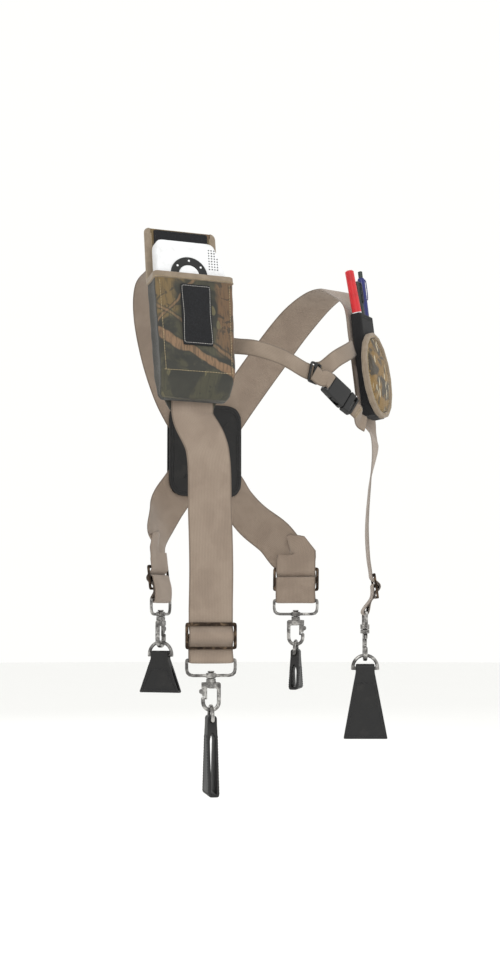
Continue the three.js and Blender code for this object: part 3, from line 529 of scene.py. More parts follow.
@dataclass(frozen=True)
class Metal:
    """Plated steel with a mottled finish, rubbed bright in places."""

    colour: tuple
    rubbed: tuple
    tarnish: tuple
    roughness: float = 0.3

    def made(self, name: str) -> bpy.types.Material:
        """Build it: noise gives rubbed and tarnished patches, and fine scratches run through.

        Args:
            name: The material's name.
        """
        g = Graph(name)
        vector = g.place()
        patches = g.noise(vector, 150, 5, 0.5)
        scratches = g.noise(g.moved(vector, (300, 300, 4200), (0.3, 0.5, 0.2)), 1, 3)
        colour = g.mix(patches.over(0.57, 0.14) * 0.75, self.colour, self.rubbed)
        colour = g.mix((1 - patches.over(0.42, 0.16)) * 0.7, colour, self.tarnish)
        return g.finish({
            "Base Color": g.mix(scratches.over(0.62, 0.1) * 0.3, colour, self.rubbed),
            "Metallic": 0.95,
            "Roughness": self.roughness + (1 - patches) * 0.22,
            "Normal": g.bump(scratches * 0.5 + patches * 0.5, 0.05 * MM, 0.6),
        })


@dataclass(frozen=True)
class Plastic:
    """Moulded plastic with a spark-etched grain, a few scuffs and slight dirt."""

    colour: tuple
    soil: tuple
    roughness: float = 0.35
    grain: float = 0.04 * MM

    def made(self, name: str) -> bpy.types.Material:
        """Build it: fine noise for the grain, and stretched noise for scuffs.

        Args:
            name: The material's name.
        """
        g = Graph(name)
        vector = g.place()
        etched = g.noise(vector, 2400, 2)
        dirt = g.noise(vector, 85, 5, 0.4)
        scuffs = g.noise(g.moved(vector, (260, 900, 3000), (0.5, 0.3, 0.8)), 1, 3)
        colour = g.mix(dirt.over(0.6, 0.3) * 0.35 + scuffs.over(0.64, 0.08) * 0.12, self.colour, self.soil)
        return g.finish({
            "Base Color": colour,
            "Roughness": self.roughness + dirt * 0.14 + scuffs.over(0.62, 0.1) * 0.08,
            "Normal": g.bump(etched * 0.7 + scuffs * 0.3, self.grain, 0.7),
        })


@dataclass(frozen=True)
class Ground:
    """The pale floor."""

    colour: tuple = rgb(247, 247, 246)

    def made(self, name: str) -> bpy.types.Material:
        """Build it: nearly even, with a trace of noise."""
        g = Graph(name)
        tint = g.noise(g.place(), 3, 3)
        return g.finish({"Base Color": g.mix(tint * 0.06, self.colour, rgb(228, 228, 226)), "Roughness": 0.9})


WEBBING = Webbing()
CHEST_WEBBING = Webbing(half_width=10 * MM, colour=rgb(140, 124, 108), shade=rgb(82, 70, 58))
FINISHES = {
    "webbing": WEBBING,
    "chest_webbing": CHEST_WEBBING,
    "tape": Tape(),
    "bark_print": Camouflage(Print.BARK),
    "leaf_print": Camouflage(Print.LEAF),
    "loop_pile": Cloth(rgb(9, 10, 13), rgb(30, 31, 36), 0.5 * MM, 700),
    "black_cloth": Cloth(rgb(10, 10, 11), rgb(30, 30, 32)),
    "leather": Leather(),
    "bronze": Metal(rgb(52, 43, 36), rgb(112, 94, 76), rgb(24, 20, 18), 0.36),
    "steel": Metal(rgb(122, 120, 118), rgb(196, 194, 190), rgb(48, 46, 45), 0.24),
    "buckle_plastic": Plastic(rgb(11, 11, 12), rgb(40, 39, 38), 0.4),
    "white_plastic": Plastic(rgb(232, 233, 235), rgb(186, 184, 180), 0.3),
    "black_plastic": Plastic(rgb(9, 9, 10), rgb(36, 36, 38), 0.42),
    "red_plastic": Plastic(rgb(196, 26, 34), rgb(120, 22, 24), 0.28),
    "dark_plastic": Plastic(rgb(24, 36, 30), rgb(60, 66, 60), 0.3),
    "blue_plastic": Plastic(rgb(20, 30, 104), rgb(12, 14, 40), 0.28),
    "grey_thread": Cloth(rgb(150, 148, 144), rgb(206, 204, 200), 0.1 * MM),
    "tan_thread": Cloth(rgb(150, 132, 100), rgb(200, 184, 150), 0.1 * MM),
    "black_thread": Cloth(rgb(26, 26, 27), rgb(74, 74, 76), 0.1 * MM),
    "ground": Ground(),
}
_made: dict[str, bpy.types.Material] = {}


def finish(name: str) -> bpy.types.Material:
    """Return the named finish's material, built once."""
    if name not in _made:
        _made[name] = FINISHES[name].made(f"{name}_finish")
    return _made[name]


# ---------------------------------------------------------------- shapes


@dataclass(frozen=True)
class Place:
    """A piece's own frame: X across, Y towards the wearer and Z up."""

    origin: Array
    axes: Array

    def out(self, points: Array) -> Array:
        """Return points of this frame in the part's frame: origin + x X + y Y + z Z."""
        return self.origin + np.asarray(points, float) @ self.axes

    def into(self, points: Array) -> Array:
        """Return points of the part's frame in this one."""
        return (np.asarray(points, float) - self.origin) @ self.axes.T

    def shifted(self, x: float = 0, y: float = 0, z: float = 0) -> "Place":
        """Return the same frame with its origin moved in its own directions."""
        return Place(self.out([x, y, z]), self.axes)


def corners(node: str) -> Array:
    """Return a CAD node's own corner points, each once."""
    mesh = frame["nodes"][node].data
    flat = np.empty(len(mesh.vertices) * 3)
    mesh.vertices.foreach_get("co", flat)
    return np.unique(np.round(flat.reshape(-1, 3), 7), axis=0)


def triangles(node: str) -> tuple[Array, Array]:
    """Return a CAD node's corner points and its triangles as places among them.

    Args:
        node: The CAD node.
    """
    mesh = frame["nodes"][node].data
    flat = np.empty(len(mesh.vertices) * 3)
    mesh.vertices.foreach_get("co", flat)
    loops = np.empty(len(mesh.loops), int)
    mesh.loops.foreach_get("vertex_index", loops)
    points, same = np.unique(np.round(flat.reshape(-1, 3), 6), axis=0, return_inverse=True)
    return points, same.reshape(-1)[loops].reshape(-1, 3)


def plate_place(node: str) -> Place:
    """Return the frame of an evenly shaped plate: its thin axis is Y and its longest is Z.

    Args:
        node: The CAD node.

    Returns:
        Its place.
    """
    points = corners(node)
    middle = points.mean(0)
    _, axes = np.linalg.eigh(np.cov((points - middle).T))
    thin = axes[:, 0] * np.sign(axes[1, 0])
    tall = axes[:, 2] * np.sign(axes[2, 2])
    return Place(middle, np.stack([np.cross(thin, tall), thin, tall]))


def size_in(place: Place, node: str) -> tuple[Array, Array]:
    """Return a CAD node's lowest and highest corners in a frame."""
    local = place.into(corners(node))
    return local.min(0), local.max(0)


def body_for(node: str) -> str:
    """Return the body that a CAD node moves with."""
    return body_of(frame["nodes"][node])[0]


def as_object(name: str, points: Array, faces: Array | list, looks: str, sharp: float = 50) -> Object:
    """Make a mesh object whose faces point outwards.

    Args:
        name: The piece's name.
        points: Its points in the part's frame.
        faces: Its faces, as places among the points.
        looks: The finish.
        sharp: The angle in degrees past which an edge stays crisp.

    Returns:
        The object, at the origin.
    """
    mesh = bpy.data.meshes.new(name)
    mesh.from_pydata(np.asarray(points, float).tolist(), [], [list(map(int, face)) for face in faces])
    mesh.materials.append(finish(looks))
    mesh.validate()
    mesh.update()
    mesh.shade_smooth()
    mesh.set_sharp_from_angle(angle=np.radians(sharp))
    made = bpy.data.objects.new(name, mesh)
    bpy.context.scene.collection.objects.link(made)
    return made


def grid_faces(rows: int, columns: int, wraps: bool) -> Array:
    """Return the quads of a grid, joined round when its columns wrap."""
    row, column = np.meshgrid(np.arange(rows - 1), np.arange(columns if wraps else columns - 1), indexing="ij")
    after = (column + 1) % columns
    first = row * columns + column
    second = row * columns + after
    return np.stack([first, second, second + columns, first + columns], -1).reshape(-1, 4)


def volume(points: Array, faces: Sequence) -> float:
    """Return the signed volume that faces enclose: the sum of a . (b x c) / 6 over triangle fans.

    Args:
        points: The corners.
        faces: The faces.

    Returns:
        Cubic metres, below zero where the faces point inwards.
    """
    total = 0.0
    quads = np.array([face for face in faces if len(face) == 4])
    fans = [(quads[:, 0], quads[:, 1], quads[:, 2]), (quads[:, 0], quads[:, 2], quads[:, 3])]
    for face in faces:
        if len(face) != 4:
            face = np.asarray(face)
            fans.append((np.full(len(face) - 2, face[0]), face[1:-1], face[2:]))
    for a, b, c in fans:
        total += float(np.einsum("ij,ij->i", points[a], np.cross(points[b], points[c])).sum()) / 6
    return total


def skin(
    name: str, grid: Array, looks: str, cloth: Array | None = None, capped: bool = True, sharp: float = 50
) -> Object:
    """Make a closed tube from rows of points, each row one ring of its outline.

    Args:
        name: The piece's name.
        grid: Points as rows, columns and x, y, z; the columns wrap round.
        looks: The finish.
        cloth: Cloth coordinates in metres, one column more than the grid.
        capped: Whether the first and last rings are closed by a face.
        sharp: The angle in degrees past which an edge stays crisp.

    Returns:
        The object.
    """
    rows, columns = grid.shape[:2]
    points = grid.reshape(-1, 3)
    faces = grid_faces(rows, columns, True).tolist()
    if capped:
        faces += [list(range(columns))[::-1], list(range((rows - 1) * columns, rows * columns))]
    outward = volume(points, faces) > 0
    if not outward:
        faces = [face[::-1] for face in faces]
    made = as_object(name, points, faces, looks, sharp)
    if cloth is not None:
        _lay_cloth(made.data, cloth, rows, columns, outward)
    return made


def _lay_cloth(mesh: bpy.types.Mesh, cloth: Array, rows: int, columns: int, outward: bool) -> None:
    """Give the quads of a wrapped grid their cloth coordinates, and its caps those of their corners.

    Args:
        mesh: The wrapped grid.
        cloth: Its cloth coordinates, row by row.
        rows: How many rows it has.
        columns: How many columns it has.
        outward: Whether its faces kept their order.
    """
    layer = mesh.uv_layers.new(name=CLOTH_MAP)
    row, column = np.meshgrid(np.arange(rows - 1), np.arange(columns), indexing="ij")
    quads = np.stack([
        cloth[row, column], cloth[row, column + 1], cloth[row + 1, column + 1], cloth[row + 1, column],
    ], -2)
    if not outward:
        quads = quads[:, :, ::-1]
    flat = quads.reshape(-1, 2)
    corners_of = np.empty(len(mesh.loops), int)
    mesh.loops.foreach_get("vertex_index", corners_of)
    everywhere = cloth[:, :columns].reshape(-1, 2)[corners_of]
    everywhere[: len(flat)] = flat
    layer.data.foreach_set("uv", everywhere.astype(np.float32).ravel())


# Every way to pair the four corners of one strap section with the next.
_ORDERS = [(a, b, c, d) for a in range(4) for b in range(4) for c in range(4) for d in range(4)
           if len({a, b, c, d}) == 4]


@dataclass
class Run:
    """The middle line of a flat strap, with its directions across it and out of it."""

    centre: Array
    across: Array
    normal: Array

    @classmethod
    def of(cls, node: str) -> "Run":
        """Read the run back from a CAD strap, which is a box bent along its stations.

        Args:
            node: The strap's node.

        Returns:
            A station for each ring of four corners, from one end to the other.
        """
        points, faces = triangles(node)
        touches = np.zeros((len(points), len(points)), bool)
        for a, b in ((0, 1), (1, 2), (2, 0)):
            touches[faces[:, a], faces[:, b]] = touches[faces[:, b], faces[:, a]] = True
        ring = cls._end_ring(points, touches)
        seen = np.zeros(len(points), bool)
        rings = []
        while len(ring) == 4:
            if rings:
                ring = cls._matched(points, rings[-1], ring)
            rings.append(ring)
            seen[ring] = True
            ring = np.flatnonzero(touches[ring].any(0) & ~seen)
        box = points[np.array(rings)]
        across = (box[:, 2] + box[:, 3] - box[:, 0] - box[:, 1]) / 2
        normal = (box[:, 0] + box[:, 3] - box[:, 1] - box[:, 2]) / 2
        return cls(box.mean(1), across, normal)

    @staticmethod
    def _end_ring(points: Array, touches: Array) -> Array:
        """Return the four corners of one end, ordered as two on one edge and two on the other.

        Args:
            points: The strap's points.
            touches: Which points share a triangle.

        Returns:
            Their four indexes.
        """
        for start in np.argsort(touches.sum(0)):
            near = np.flatnonzero(touches[start])
            for a in near:
                for b in near[near > a]:
                    for c in near[near > b]:
                        ring = np.array([start, a, b, c])
                        outside = touches[ring].any(0)
                        outside[ring] = False
                        if outside.sum() == 4:
                            apart = np.linalg.norm(points[ring] - points[start], axis=1)
                            order = np.argsort(apart)
                            pair = ring[order[:2]]
                            rest = ring[order[2:]]
                            return np.array([pair[0], pair[1], rest[1], rest[0]])
        raise ValueError("the strap has no end")

    @staticmethod
    def _matched(points: Array, before: Array, ring: Array) -> Array:
        """Return the next ring in the order of the one before it, by the least total distance."""
        best, least = ring, np.inf
        for order in _ORDERS:
            total = float(((points[ring[list(order)]] - points[before]) ** 2).sum())
            if total < least:
                best, least = ring[list(order)], total
        return best

    def along(self) -> Array:
        """Return each station's distance from the first."""
        steps = np.linalg.norm(np.diff(self.centre, axis=0), axis=1)
        return np.r_[0, np.cumsum(steps)]

    def finer(self, step: float) -> "Run":
        """Return the run at even steps, on a cubic through its stations.

        Args:
            step: The largest distance between stations.
        """
        old = self.along()
        new = np.linspace(0, old[-1], int(old[-1] / step) + 2)
        fine = [cubic(old, values, new) for values in (self.centre, self.across, self.normal)]
        return Run(*fine)

    def point(self, distance: float, across: float, out: float) -> tuple[Array, Array]:
        """Return a place on the strap and the outward direction there.

        Args:
            distance: Metres from the first station.
            across: -1 to 1 from one edge to the other.
            out: Half thicknesses from the middle.
        """
        old = self.along()
        centre, side, normal = (cubic(old, v, np.array([distance]))[0] for v in (self.centre, self.across, self.normal))
        return centre + side * across / 2 + normal * out / 2, normal / np.linalg.norm(normal)


def cubic(old: Array, values: Array, new: Array) -> Array:
    """Return values at new distances on a Hermite cubic through the old ones.

    Each span runs from p0 to p1 as h00 p0 + h10 d m0 + h01 p1 + h11 d m1, where the slopes m
    are those between each station's two neighbours.

    Args:
        old: The distances of the stations.
        values: The values there.
        new: The distances wanted.

    Returns:
        The values at the new distances.
    """
    slopes = np.gradient(values, old, axis=0)
    span = np.clip(np.searchsorted(old, new, side="right") - 1, 0, len(old) - 2)
    wide = old[span + 1] - old[span]
    t = ((new - old[span]) / wide)[:, None]
    wide = wide[:, None]
    return (
        (2 * t**3 - 3 * t**2 + 1) * values[span]
        + (t**3 - 2 * t**2 + t) * wide * slopes[span]
        + (3 * t**2 - 2 * t**3) * values[span + 1]
        + (t**3 - t**2) * wide * slopes[span + 1]
    )


def ribbon(name: str, run: Run, looks: str, cells: int = 14, crown: float = 0.0) -> Object:
    """Make a flat strap with rounded selvedges along a run.

    The outline at each station is x = w u and y = h (1 - |u|^10)^(1/2), and the same below it,
    raised in the middle by crown (1 - u^2).

    Args:
        name: The piece's name.
        run: The middle line.
        looks: The finish.
        cells: Faces across the strap.
        crown: How far the middle stands out.
    """
    u = np.linspace(-1, 1, cells + 1)
    edge = (1 - np.abs(u) ** 10) ** 0.5
    side = np.r_[u, u[-2:0:-1]]
    level = np.r_[edge, -edge[-2:0:-1]]
    bow = crown * (1 - side**2)
    half = run.across / 2
    unit = run.normal / np.linalg.norm(run.normal, axis=1, keepdims=True)
    grid = (
        run.centre[:, None]
        + half[:, None] * side[None, :, None]
        + run.normal[:, None] / 2 * level[None, :, None]
        + unit[:, None] * bow[None, :, None]
    )
    width = np.linalg.norm(half, axis=1)
    round_side = np.r_[side, side[0]]
    cloth = np.stack(np.broadcast_arrays(width[:, None] * round_side[None], run.along()[:, None]), -1)
    return skin(name, grid, looks, cloth)


def stitches(
    name: str, path: Array, outward: Array, looks: str, pitch: float = 3.4 * MM, thread: float = 0.42 * MM
) -> Object:
    """Make a row of stitches along a path on a surface.

    Each stitch is an arc that rises out of the cloth by sin(pi t) of the thread's radius, and
    its own radius is the thread's times sin(pi t)^(1/3).

    Args:
        name: The piece's name.
        path: Points on the surface.
        outward: The direction out of the surface at each point.
        looks: The thread's finish.
        pitch: The distance from one stitch to the next.
        thread: The thread's radius.
    """
    path = np.asarray(path, float)
    lengths = np.r_[0, np.cumsum(np.linalg.norm(np.diff(path, axis=0), axis=1))]
    outward = np.broadcast_to(np.asarray(outward, float), path.shape)
    count = max(int(lengths[-1] / pitch), 1)
    starts = np.linspace(0, lengths[-1], count + 1)[:-1]
    t = np.linspace(0.08, 0.92, 6)
    spread = starts[:, None] + t[None] * (lengths[-1] / count)
    at = np.stack([np.interp(spread, lengths, path[:, k]) for k in range(3)], -1)
    up = np.stack([np.interp(spread, lengths, outward[:, k]) for k in range(3)], -1)
    up /= np.linalg.norm(up, axis=-1, keepdims=True)
    forward = at[:, -1:] - at[:, :1]
    forward = forward / np.linalg.norm(forward, axis=-1, keepdims=True)
    side = np.cross(np.broadcast_to(forward, up.shape), up)
    swell = np.sin(np.pi * (t - 0.04) / 0.92)
    centre = at + up * (thread * (0.25 + 0.6 * swell))[None, :, None]
    turn = np.linspace(0, TAU, 6, endpoint=False)
    radius = thread * np.abs(swell) ** (1 / 3)
    ring = side[..., None, :] * np.cos(turn)[:, None] + up[..., None, :] * np.sin(turn)[:, None]
    points = centre[:, :, None] + ring * radius[None, :, None, None]
    one = grid_faces(6, 6, True)
    caps = np.array([[5, 4, 3, 2, 1, 0], [30, 31, 32, 33, 34, 35]])
    offset = np.arange(count)[:, None, None] * 36
    quads = (one[None] + offset).reshape(-1, 4)[:, ::-1]
    ends = (caps[None] + offset).reshape(-1, 6)[:, ::-1]
    return as_object(name, points.reshape(-1, 3), quads.tolist() + ends.tolist(), looks)


def formed(node: str, looks: str, voxel: float, rounds: int = 4, name: str = "") -> Object:
    """Make a rounded casting in place of a CAD node, from a merged copy of its mesh.

    The copy is filled with voxels and its surface is smoothed, so that each sharp corner
    becomes a small radius.

    Args:
        node: The CAD node.
        looks: The finish.
        voxel: The size of a voxel.
        rounds: How often the surface is smoothed.
        name: The piece's name, or the node's own with a word after it.

    Returns:
        The piece, riding where the node rides.
    """
    points, faces = triangles(node)
    rough = as_object(name or f"{node}_formed", points, faces, looks)
    remesh = rough.modifiers.new("fill", "REMESH")
    remesh.mode = "VOXEL"
    remesh.voxel_size = voxel
    remesh.use_smooth_shade = True
    smooth = rough.modifiers.new("round", "SMOOTH")
    smooth.factor = 0.5
    smooth.iterations = rounds
    apply_modifiers(rough)
    rough.data.materials.clear()
    rough.data.materials.append(finish(looks))
    dressed(rough, body_for(node), node)
    return rough


def apply_modifiers(piece: Object) -> None:
    """Replace a piece's mesh by what its modifiers make of it."""
    bpy.context.view_layer.update()
    graph = bpy.context.evaluated_depsgraph_get()
    mesh = bpy.data.meshes.new_from_object(piece.evaluated_get(graph))
    piece.modifiers.clear()
    piece.data = mesh
    mesh.shade_smooth()


def dressed(piece: Object, body: str, *nodes: str) -> Object:
    """Put a piece on the body it rides on, hide the CAD nodes it replaces, and log its faces."""
    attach(piece, body)
    if nodes:
        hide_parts(*nodes)
    log.info("%s: %d faces on %s", piece.name, len(piece.data.polygons), body)
    return piece


def revolved(name: str, base: Array, tip: Array, profile: Sequence[tuple[float, float]], looks: str) -> Object:
    """Make a turned piece: r(h) carried round the line from a base to a tip.

    Args:
        name: The piece's name.
        base: The start of its axis.
        tip: A point further along the axis.
        profile: Heights from the base and radii, in metres.
        looks: The finish.
    """
    axis = np.asarray(tip, float) - base
    axis /= np.linalg.norm(axis)
    side = np.cross(axis, [0.31, 0.95, 0.05])
    side /= np.linalg.norm(side)
    up = np.cross(axis, side)
    turn = np.linspace(0, TAU, 40, endpoint=False)
    heights, radii = np.array(profile).T
    ring = side * np.cos(turn)[:, None] + up * np.sin(turn)[:, None]
    grid = np.asarray(base) + heights[:, None, None] * axis + radii[:, None, None] * ring[None]
    return skin(name, grid, looks, sharp=35)


def turned_from(node: str, looks: str, edge: float = 0.5 * MM, name: str = "") -> Object:
    """Make a smooth turned piece with eased edges in place of a CAD node turned with few sides.

    Args:
        node: The CAD node.
        looks: The finish.
        edge: The width of its eased edges.
        name: The piece's name, made from the node's where it is empty.

    Returns:
        The finished piece.
    """
    points = corners(node)
    middle = points.mean(0)
    _, axes = np.linalg.eigh(np.cov((points - middle).T))
    axis = axes[:, 2] * np.sign(axes[2, 2])
    height = (points - middle) @ axis
    radius = np.linalg.norm((points - middle) - height[:, None] * axis, axis=1)
    outside = hull_of(np.stack([np.r_[height, height], np.r_[radius, -radius]], -1))
    outside = outside[outside[:, 1] > 0.3 * MM]
    order = np.argsort(outside[:, 0])
    levels, widest = outside[order].T
    levels = levels - height.min()
    apart = np.r_[True, np.diff(levels) > 0.05 * MM]
    levels, widest = levels[apart], widest[apart]
    profile = [(levels[0], widest[0] - edge)]
    for before, level, after in zip(range(-1, len(levels)), range(len(levels)), range(1, len(levels) + 1)):
        low = levels[level] + (edge if before < 0 else -min(edge, (levels[level] - levels[before]) / 3))
        high = levels[level] - (edge if after == len(levels) else -min(edge, (levels[after] - levels[level]) / 3))
        profile += [(min(low, high), widest[level]), (max(low, high), widest[level])]
    profile.append((levels[-1], widest[-1] - edge))
    base = middle + axis * (height.min())
    made = revolved(name or f"{node}_turned", base, base + axis, profile, looks)
    return dressed(made, body_for(node), node)


# ---------------------------------------------------------------- straps


@dataclass
class Straps:
    """The main webbing, the sternum straps and their sewing."""

    step: float = 2.2 * MM
    bow: float = 0.25 * MM
    main: tuple = (
        "right_shoulder_strap", "left_shoulder_strap", "front_right_strap", "front_left_strap",
        "rear_right_strap", "rear_left_strap",
    )
    chest: tuple = ("sternum_right_strap", "sternum_upper_strap", "sternum_socket_tab", "sternum_lower_strap")
    runs: dict = field(default_factory=dict)

    def build(self) -> None:
        """Make every strap, then its sewing."""
        for node in self.main + self.chest:
            looks = "webbing" if node in self.main else "chest_webbing"
            run = Run.of(node)
            self.runs[node] = run
            cells = 18 if node in self.main else 10
            woven = ribbon(f"{node}_woven", run.finer(self.step), looks, cells, self.bow)
            if node == "sternum_lower_strap":
                self._across_the_buckle(woven, run, node)
            else:
                dressed(woven, "harness", node)
        self._sewing()

    def _across_the_buckle(self, woven: Object, run: Run, node: str) -> None:
        """Let the lower sternum strap bend between the harness and the buckle's plug.

        Args:
            woven: The strap as woven.
            run: Its stations.
            node: The CAD strap.
        """
        low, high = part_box("buckle_plug")
        plug = (np.array(low) + np.array(high)) / 2
        ends = run.centre[[0, -1]]
        near = ends[np.argmin(np.linalg.norm(ends - plug, axis=1))]
        far = ends[np.argmax(np.linalg.norm(ends - plug, axis=1))]
        start, end = (tuple(far * (1 - share) + near * share) for share in (0.2, 0.75))
        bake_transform(woven, "harness", "buckle_plug", start=start, end=end)
        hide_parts(node)

    def bar(self, name: str, node: str, distance: float, width: float, rows: int, side: float, looks: str,
            body: str = "harness") -> None:
        """Sew bars across a strap.

        Args:
            name: The piece's name.
            node: The strap.
            distance: Metres from its first station.
            width: How much of the strap's width they cross, 0 to 1.
            rows: How many bars, 2.6 mm apart.
            side: 1 or -1, the face they show on.
            looks: The thread.
            body: The body that carries them.
        """
        run = self.runs[node]
        for row in range(rows):
            pairs = [run.point(distance + row * 2.6 * MM, u, side) for u in np.linspace(-width, width, 9)]
            path = np.array([pair[0] for pair in pairs]) + np.array([pair[1] for pair in pairs]) * side * self.bow
            out = np.array([pair[1] for pair in pairs]) * side
            dressed(stitches(f"{name}_{row}", path, out, looks), body)

    def _front_side(self, node: str, distance: float) -> float:
        """Return the sign of the face that looks away from the wearer."""
        centre, out = self.runs[node].point(distance, 0, 0)
        away = np.array([centre[0] * 0.4, centre[1], 0.0])
        return 1.0 if float(out @ away) > 0 else -1.0

    def _sewing(self) -> None:
        """Sew the box on each sternum strap's end."""
        distance = 6 * MM
        for node, body in (("sternum_right_strap", "harness"), ("sternum_upper_strap", "harness"),
                           ("sternum_lower_strap", "buckle_plug")):
            self.bar(f"{node}_bar", node, distance, 0.8, 2, self._front_side(node, distance), "tan_thread", body)


# ---------------------------------------------------------------- ends


@dataclass
class SnapEnd:
    """A tri-glide, snap loop, snap hook, gate, D-ring and belt tab."""

    name: str
    metal_voxel: float = 0.55 * MM
    tab_voxel: float = 0.7 * MM

    def build(self) -> None:
        """Make the end's pieces."""
        formed(f"{self.name}_tri_glide", "bronze", self.metal_voxel, 5)
        formed(f"{self.name}_snap_loop", "steel", self.metal_voxel, 6)
        formed(f"{self.name}_snap_hook", "steel", 0.45 * MM, 5)
        formed(f"{self.name}_snap_gate", "steel", 0.4 * MM, 4)
        formed(f"{self.name}_d_ring", "steel", 0.45 * MM, 8)
        formed(f"{self.name}_belt_tab", "leather", self.tab_voxel, 5)
        self._sew_tab()

    def _sew_tab(self) -> None:
        """Sew along both faces of the tab's slanting sides, and across above its belt tunnel."""
        node = f"{self.name}_belt_tab"
        hinge = [joint for joint in frame["joints"] if joint["name"] == f"{self.name}_tab_swing"][0]
        across = np.array(hinge["axis"], float)
        across *= np.sign(across @ np.array([1.0, 0.2, 0.0])) or 1.0
        up = np.array([0.0, 0.0, 1.0])
        place = Place(np.array(hinge["pos_m"], float), np.stack([across, np.cross(up, across), up]))
        local = place.into(corners(node))
        low = local.min(0)
        at_foot = local[local[:, 2] < low[2] + 4 * MM]
        foot = np.abs(at_foot[:, 0]).max() - 4 * MM
        head = 11 * MM - 3 * MM
        inset = 3.2 * MM
        for side in (-1, 1):
            face = side * np.abs(local[:, 1]).max()
            corners_of = [[-head - 1.5 * MM, -17 * MM], [-foot, low[2] + inset], [foot, low[2] + inset],
                          [head + 1.5 * MM, -17 * MM], [-head - 1.5 * MM, -17 * MM]]
            flat = np.array([[x, face, z] for x, z in corners_of])
            path = place.out(dense(flat, 1.5 * MM))
            out = place.axes[1] * side
            side_name = "outer" if side < 0 else "inner"
            dressed(stitches(f"{node}_{side_name}_seam", path, out, "black_thread", 3.2 * MM, 0.4 * MM), body_for(node))


def dense(path: Array, step: float) -> Array:
    """Return the corners of a path with points between them at even steps."""
    path = np.asarray(path, float)
    lengths = np.r_[0, np.cumsum(np.linalg.norm(np.diff(path, axis=0), axis=1))]
    at = np.linspace(0, lengths[-1], int(lengths[-1] / step) + 2)
    return np.stack([np.interp(at, lengths, path[:, k]) for k in range(path.shape[1])], -1)


# ---------------------------------------------------------------- pads and bags


@dataclass
class Pad:
    """A soft or moulded plate in place of a flat CAD node whose outline bulges everywhere.

    A point of it lies at a share f of the outline's radius r(angle) from the middle. Its faces
    stand at front - crown (1 - f^2) and back + crown (1 - f^2), and the corner between them is
    a quarter circle.
    """

    node: str
    place: Place
    looks: str
    crown: float = 0.6 * MM
    back_crown: float = 0.0
    ease: float = 0.9 * MM
    proud: float = 0.0
    columns: int = 112
    rings: int = 9

    def __post_init__(self) -> None:
        """Measure the CAD node: its faces, its middle and its radius at each angle."""
        local = self.place.into(corners(self.node))
        self.front = local[:, 1].min() - self.proud
        self.back = local[:, 1].max() + self.proud
        flat = local[:, [0, 2]]
        self.middle = np.ptp(flat, axis=0) / 2 + flat.min(0)
        self.turn = np.linspace(0, TAU, self.columns, endpoint=False)
        self.ways = np.stack([np.cos(self.turn), np.sin(self.turn)], -1)
        hull = hull_of(local[:, [0, 2]] - self.middle)
        edges = np.roll(hull, -1, 0) - hull
        outs = np.stack([edges[:, 1], -edges[:, 0]], -1)
        reach = (outs * hull).sum(1)[None] / np.maximum(self.ways @ outs.T, 1e-9)
        self.radius = reach.min(1) + self.proud

    def level(self, share: Array, side: int) -> Array:
        """Return how far towards the wearer a face stands at shares of the radius."""
        if side < 0:
            return self.front - self.crown * (1 - share**2)
        return self.back + self.back_crown * (1 - share**2)

    def grid(self) -> Array:
        """Return the rings of the closed surface, from the front's middle to the back's."""
        ease = np.minimum(self.ease, (self.back - self.front) / 2.05)
        flat = 1 - ease / self.radius
        shares = np.linspace(0.03, 1, self.rings)[:, None] * flat[None]
        front = np.stack([shares, self.level(shares, -1)], -1)
        bend = np.linspace(0, np.pi / 2, 5)[1:, None]
        lip = flat + ease / self.radius * np.sin(bend)
        front_edge = np.stack([lip, self.level(lip, -1) + ease * (1 - np.cos(bend))], -1)
        back_edge = np.stack([lip, self.level(lip, 1) - ease * (1 - np.cos(bend))], -1)[::-1]
        back = np.stack([shares, self.level(shares, 1)], -1)[::-1]
        profile = np.concatenate([front, front_edge, back_edge, back])
        across = self.middle[0] + profile[..., 0] * self.radius * self.ways[:, 0]
        up = self.middle[1] + profile[..., 0] * self.radius * self.ways[:, 1]
        return np.stack([across, profile[..., 1], up], -1)

    def build(self, name: str = "") -> Object:
        """Make the pad, riding where its node rides."""
        grid = self.grid()
        cloth = np.concatenate([grid, grid[:, :1]], 1)[..., [0, 2]]
        made = skin(name or f"{self.node}_made", self.place.out(grid), self.looks, cloth)
        return dressed(made, body_for(self.node), self.node)

    def on_face(self, points: Array, side: int = -1, lift: float = 0.0) -> Array:
        """Return places on a face for points given as across and up from the pad's middle."""
        points = np.asarray(points, float)
        length = np.linalg.norm(points, axis=1)
        turn = np.arctan2(points[:, 1], points[:, 0]) % TAU
        radius = np.interp(turn, np.r_[self.turn, TAU], np.r_[self.radius, self.radius[0]])
        level = self.level(length / radius, side) + side * lift
        return self.place.out(np.stack([points[:, 0] + self.middle[0], level, points[:, 1] + self.middle[1]], -1))

    def seam(self, name: str, inset: float, looks: str, side: int = -1, pitch: float = 3.4 * MM,
             thread: float = 0.4 * MM) -> Object:
        """Sew round the pad at a distance inside its edge."""
        ring = self.ways * (self.radius - inset)[:, None]
        return self.sew(name, np.vstack([ring, ring[:1]]), looks, side, pitch, thread)

    def sew(self, name: str, points: Array, looks: str, side: int = -1, pitch: float = 3.4 * MM,
            thread: float = 0.4 * MM) -> Object:
        """Sew along a path given as across and up from the pad's middle."""
        path = self.on_face(dense(points, 1.2 * MM), side)
        row = stitches(name, path, self.place.axes[1] * side, looks, pitch, thread)
        return dressed(row, body_for(self.node))


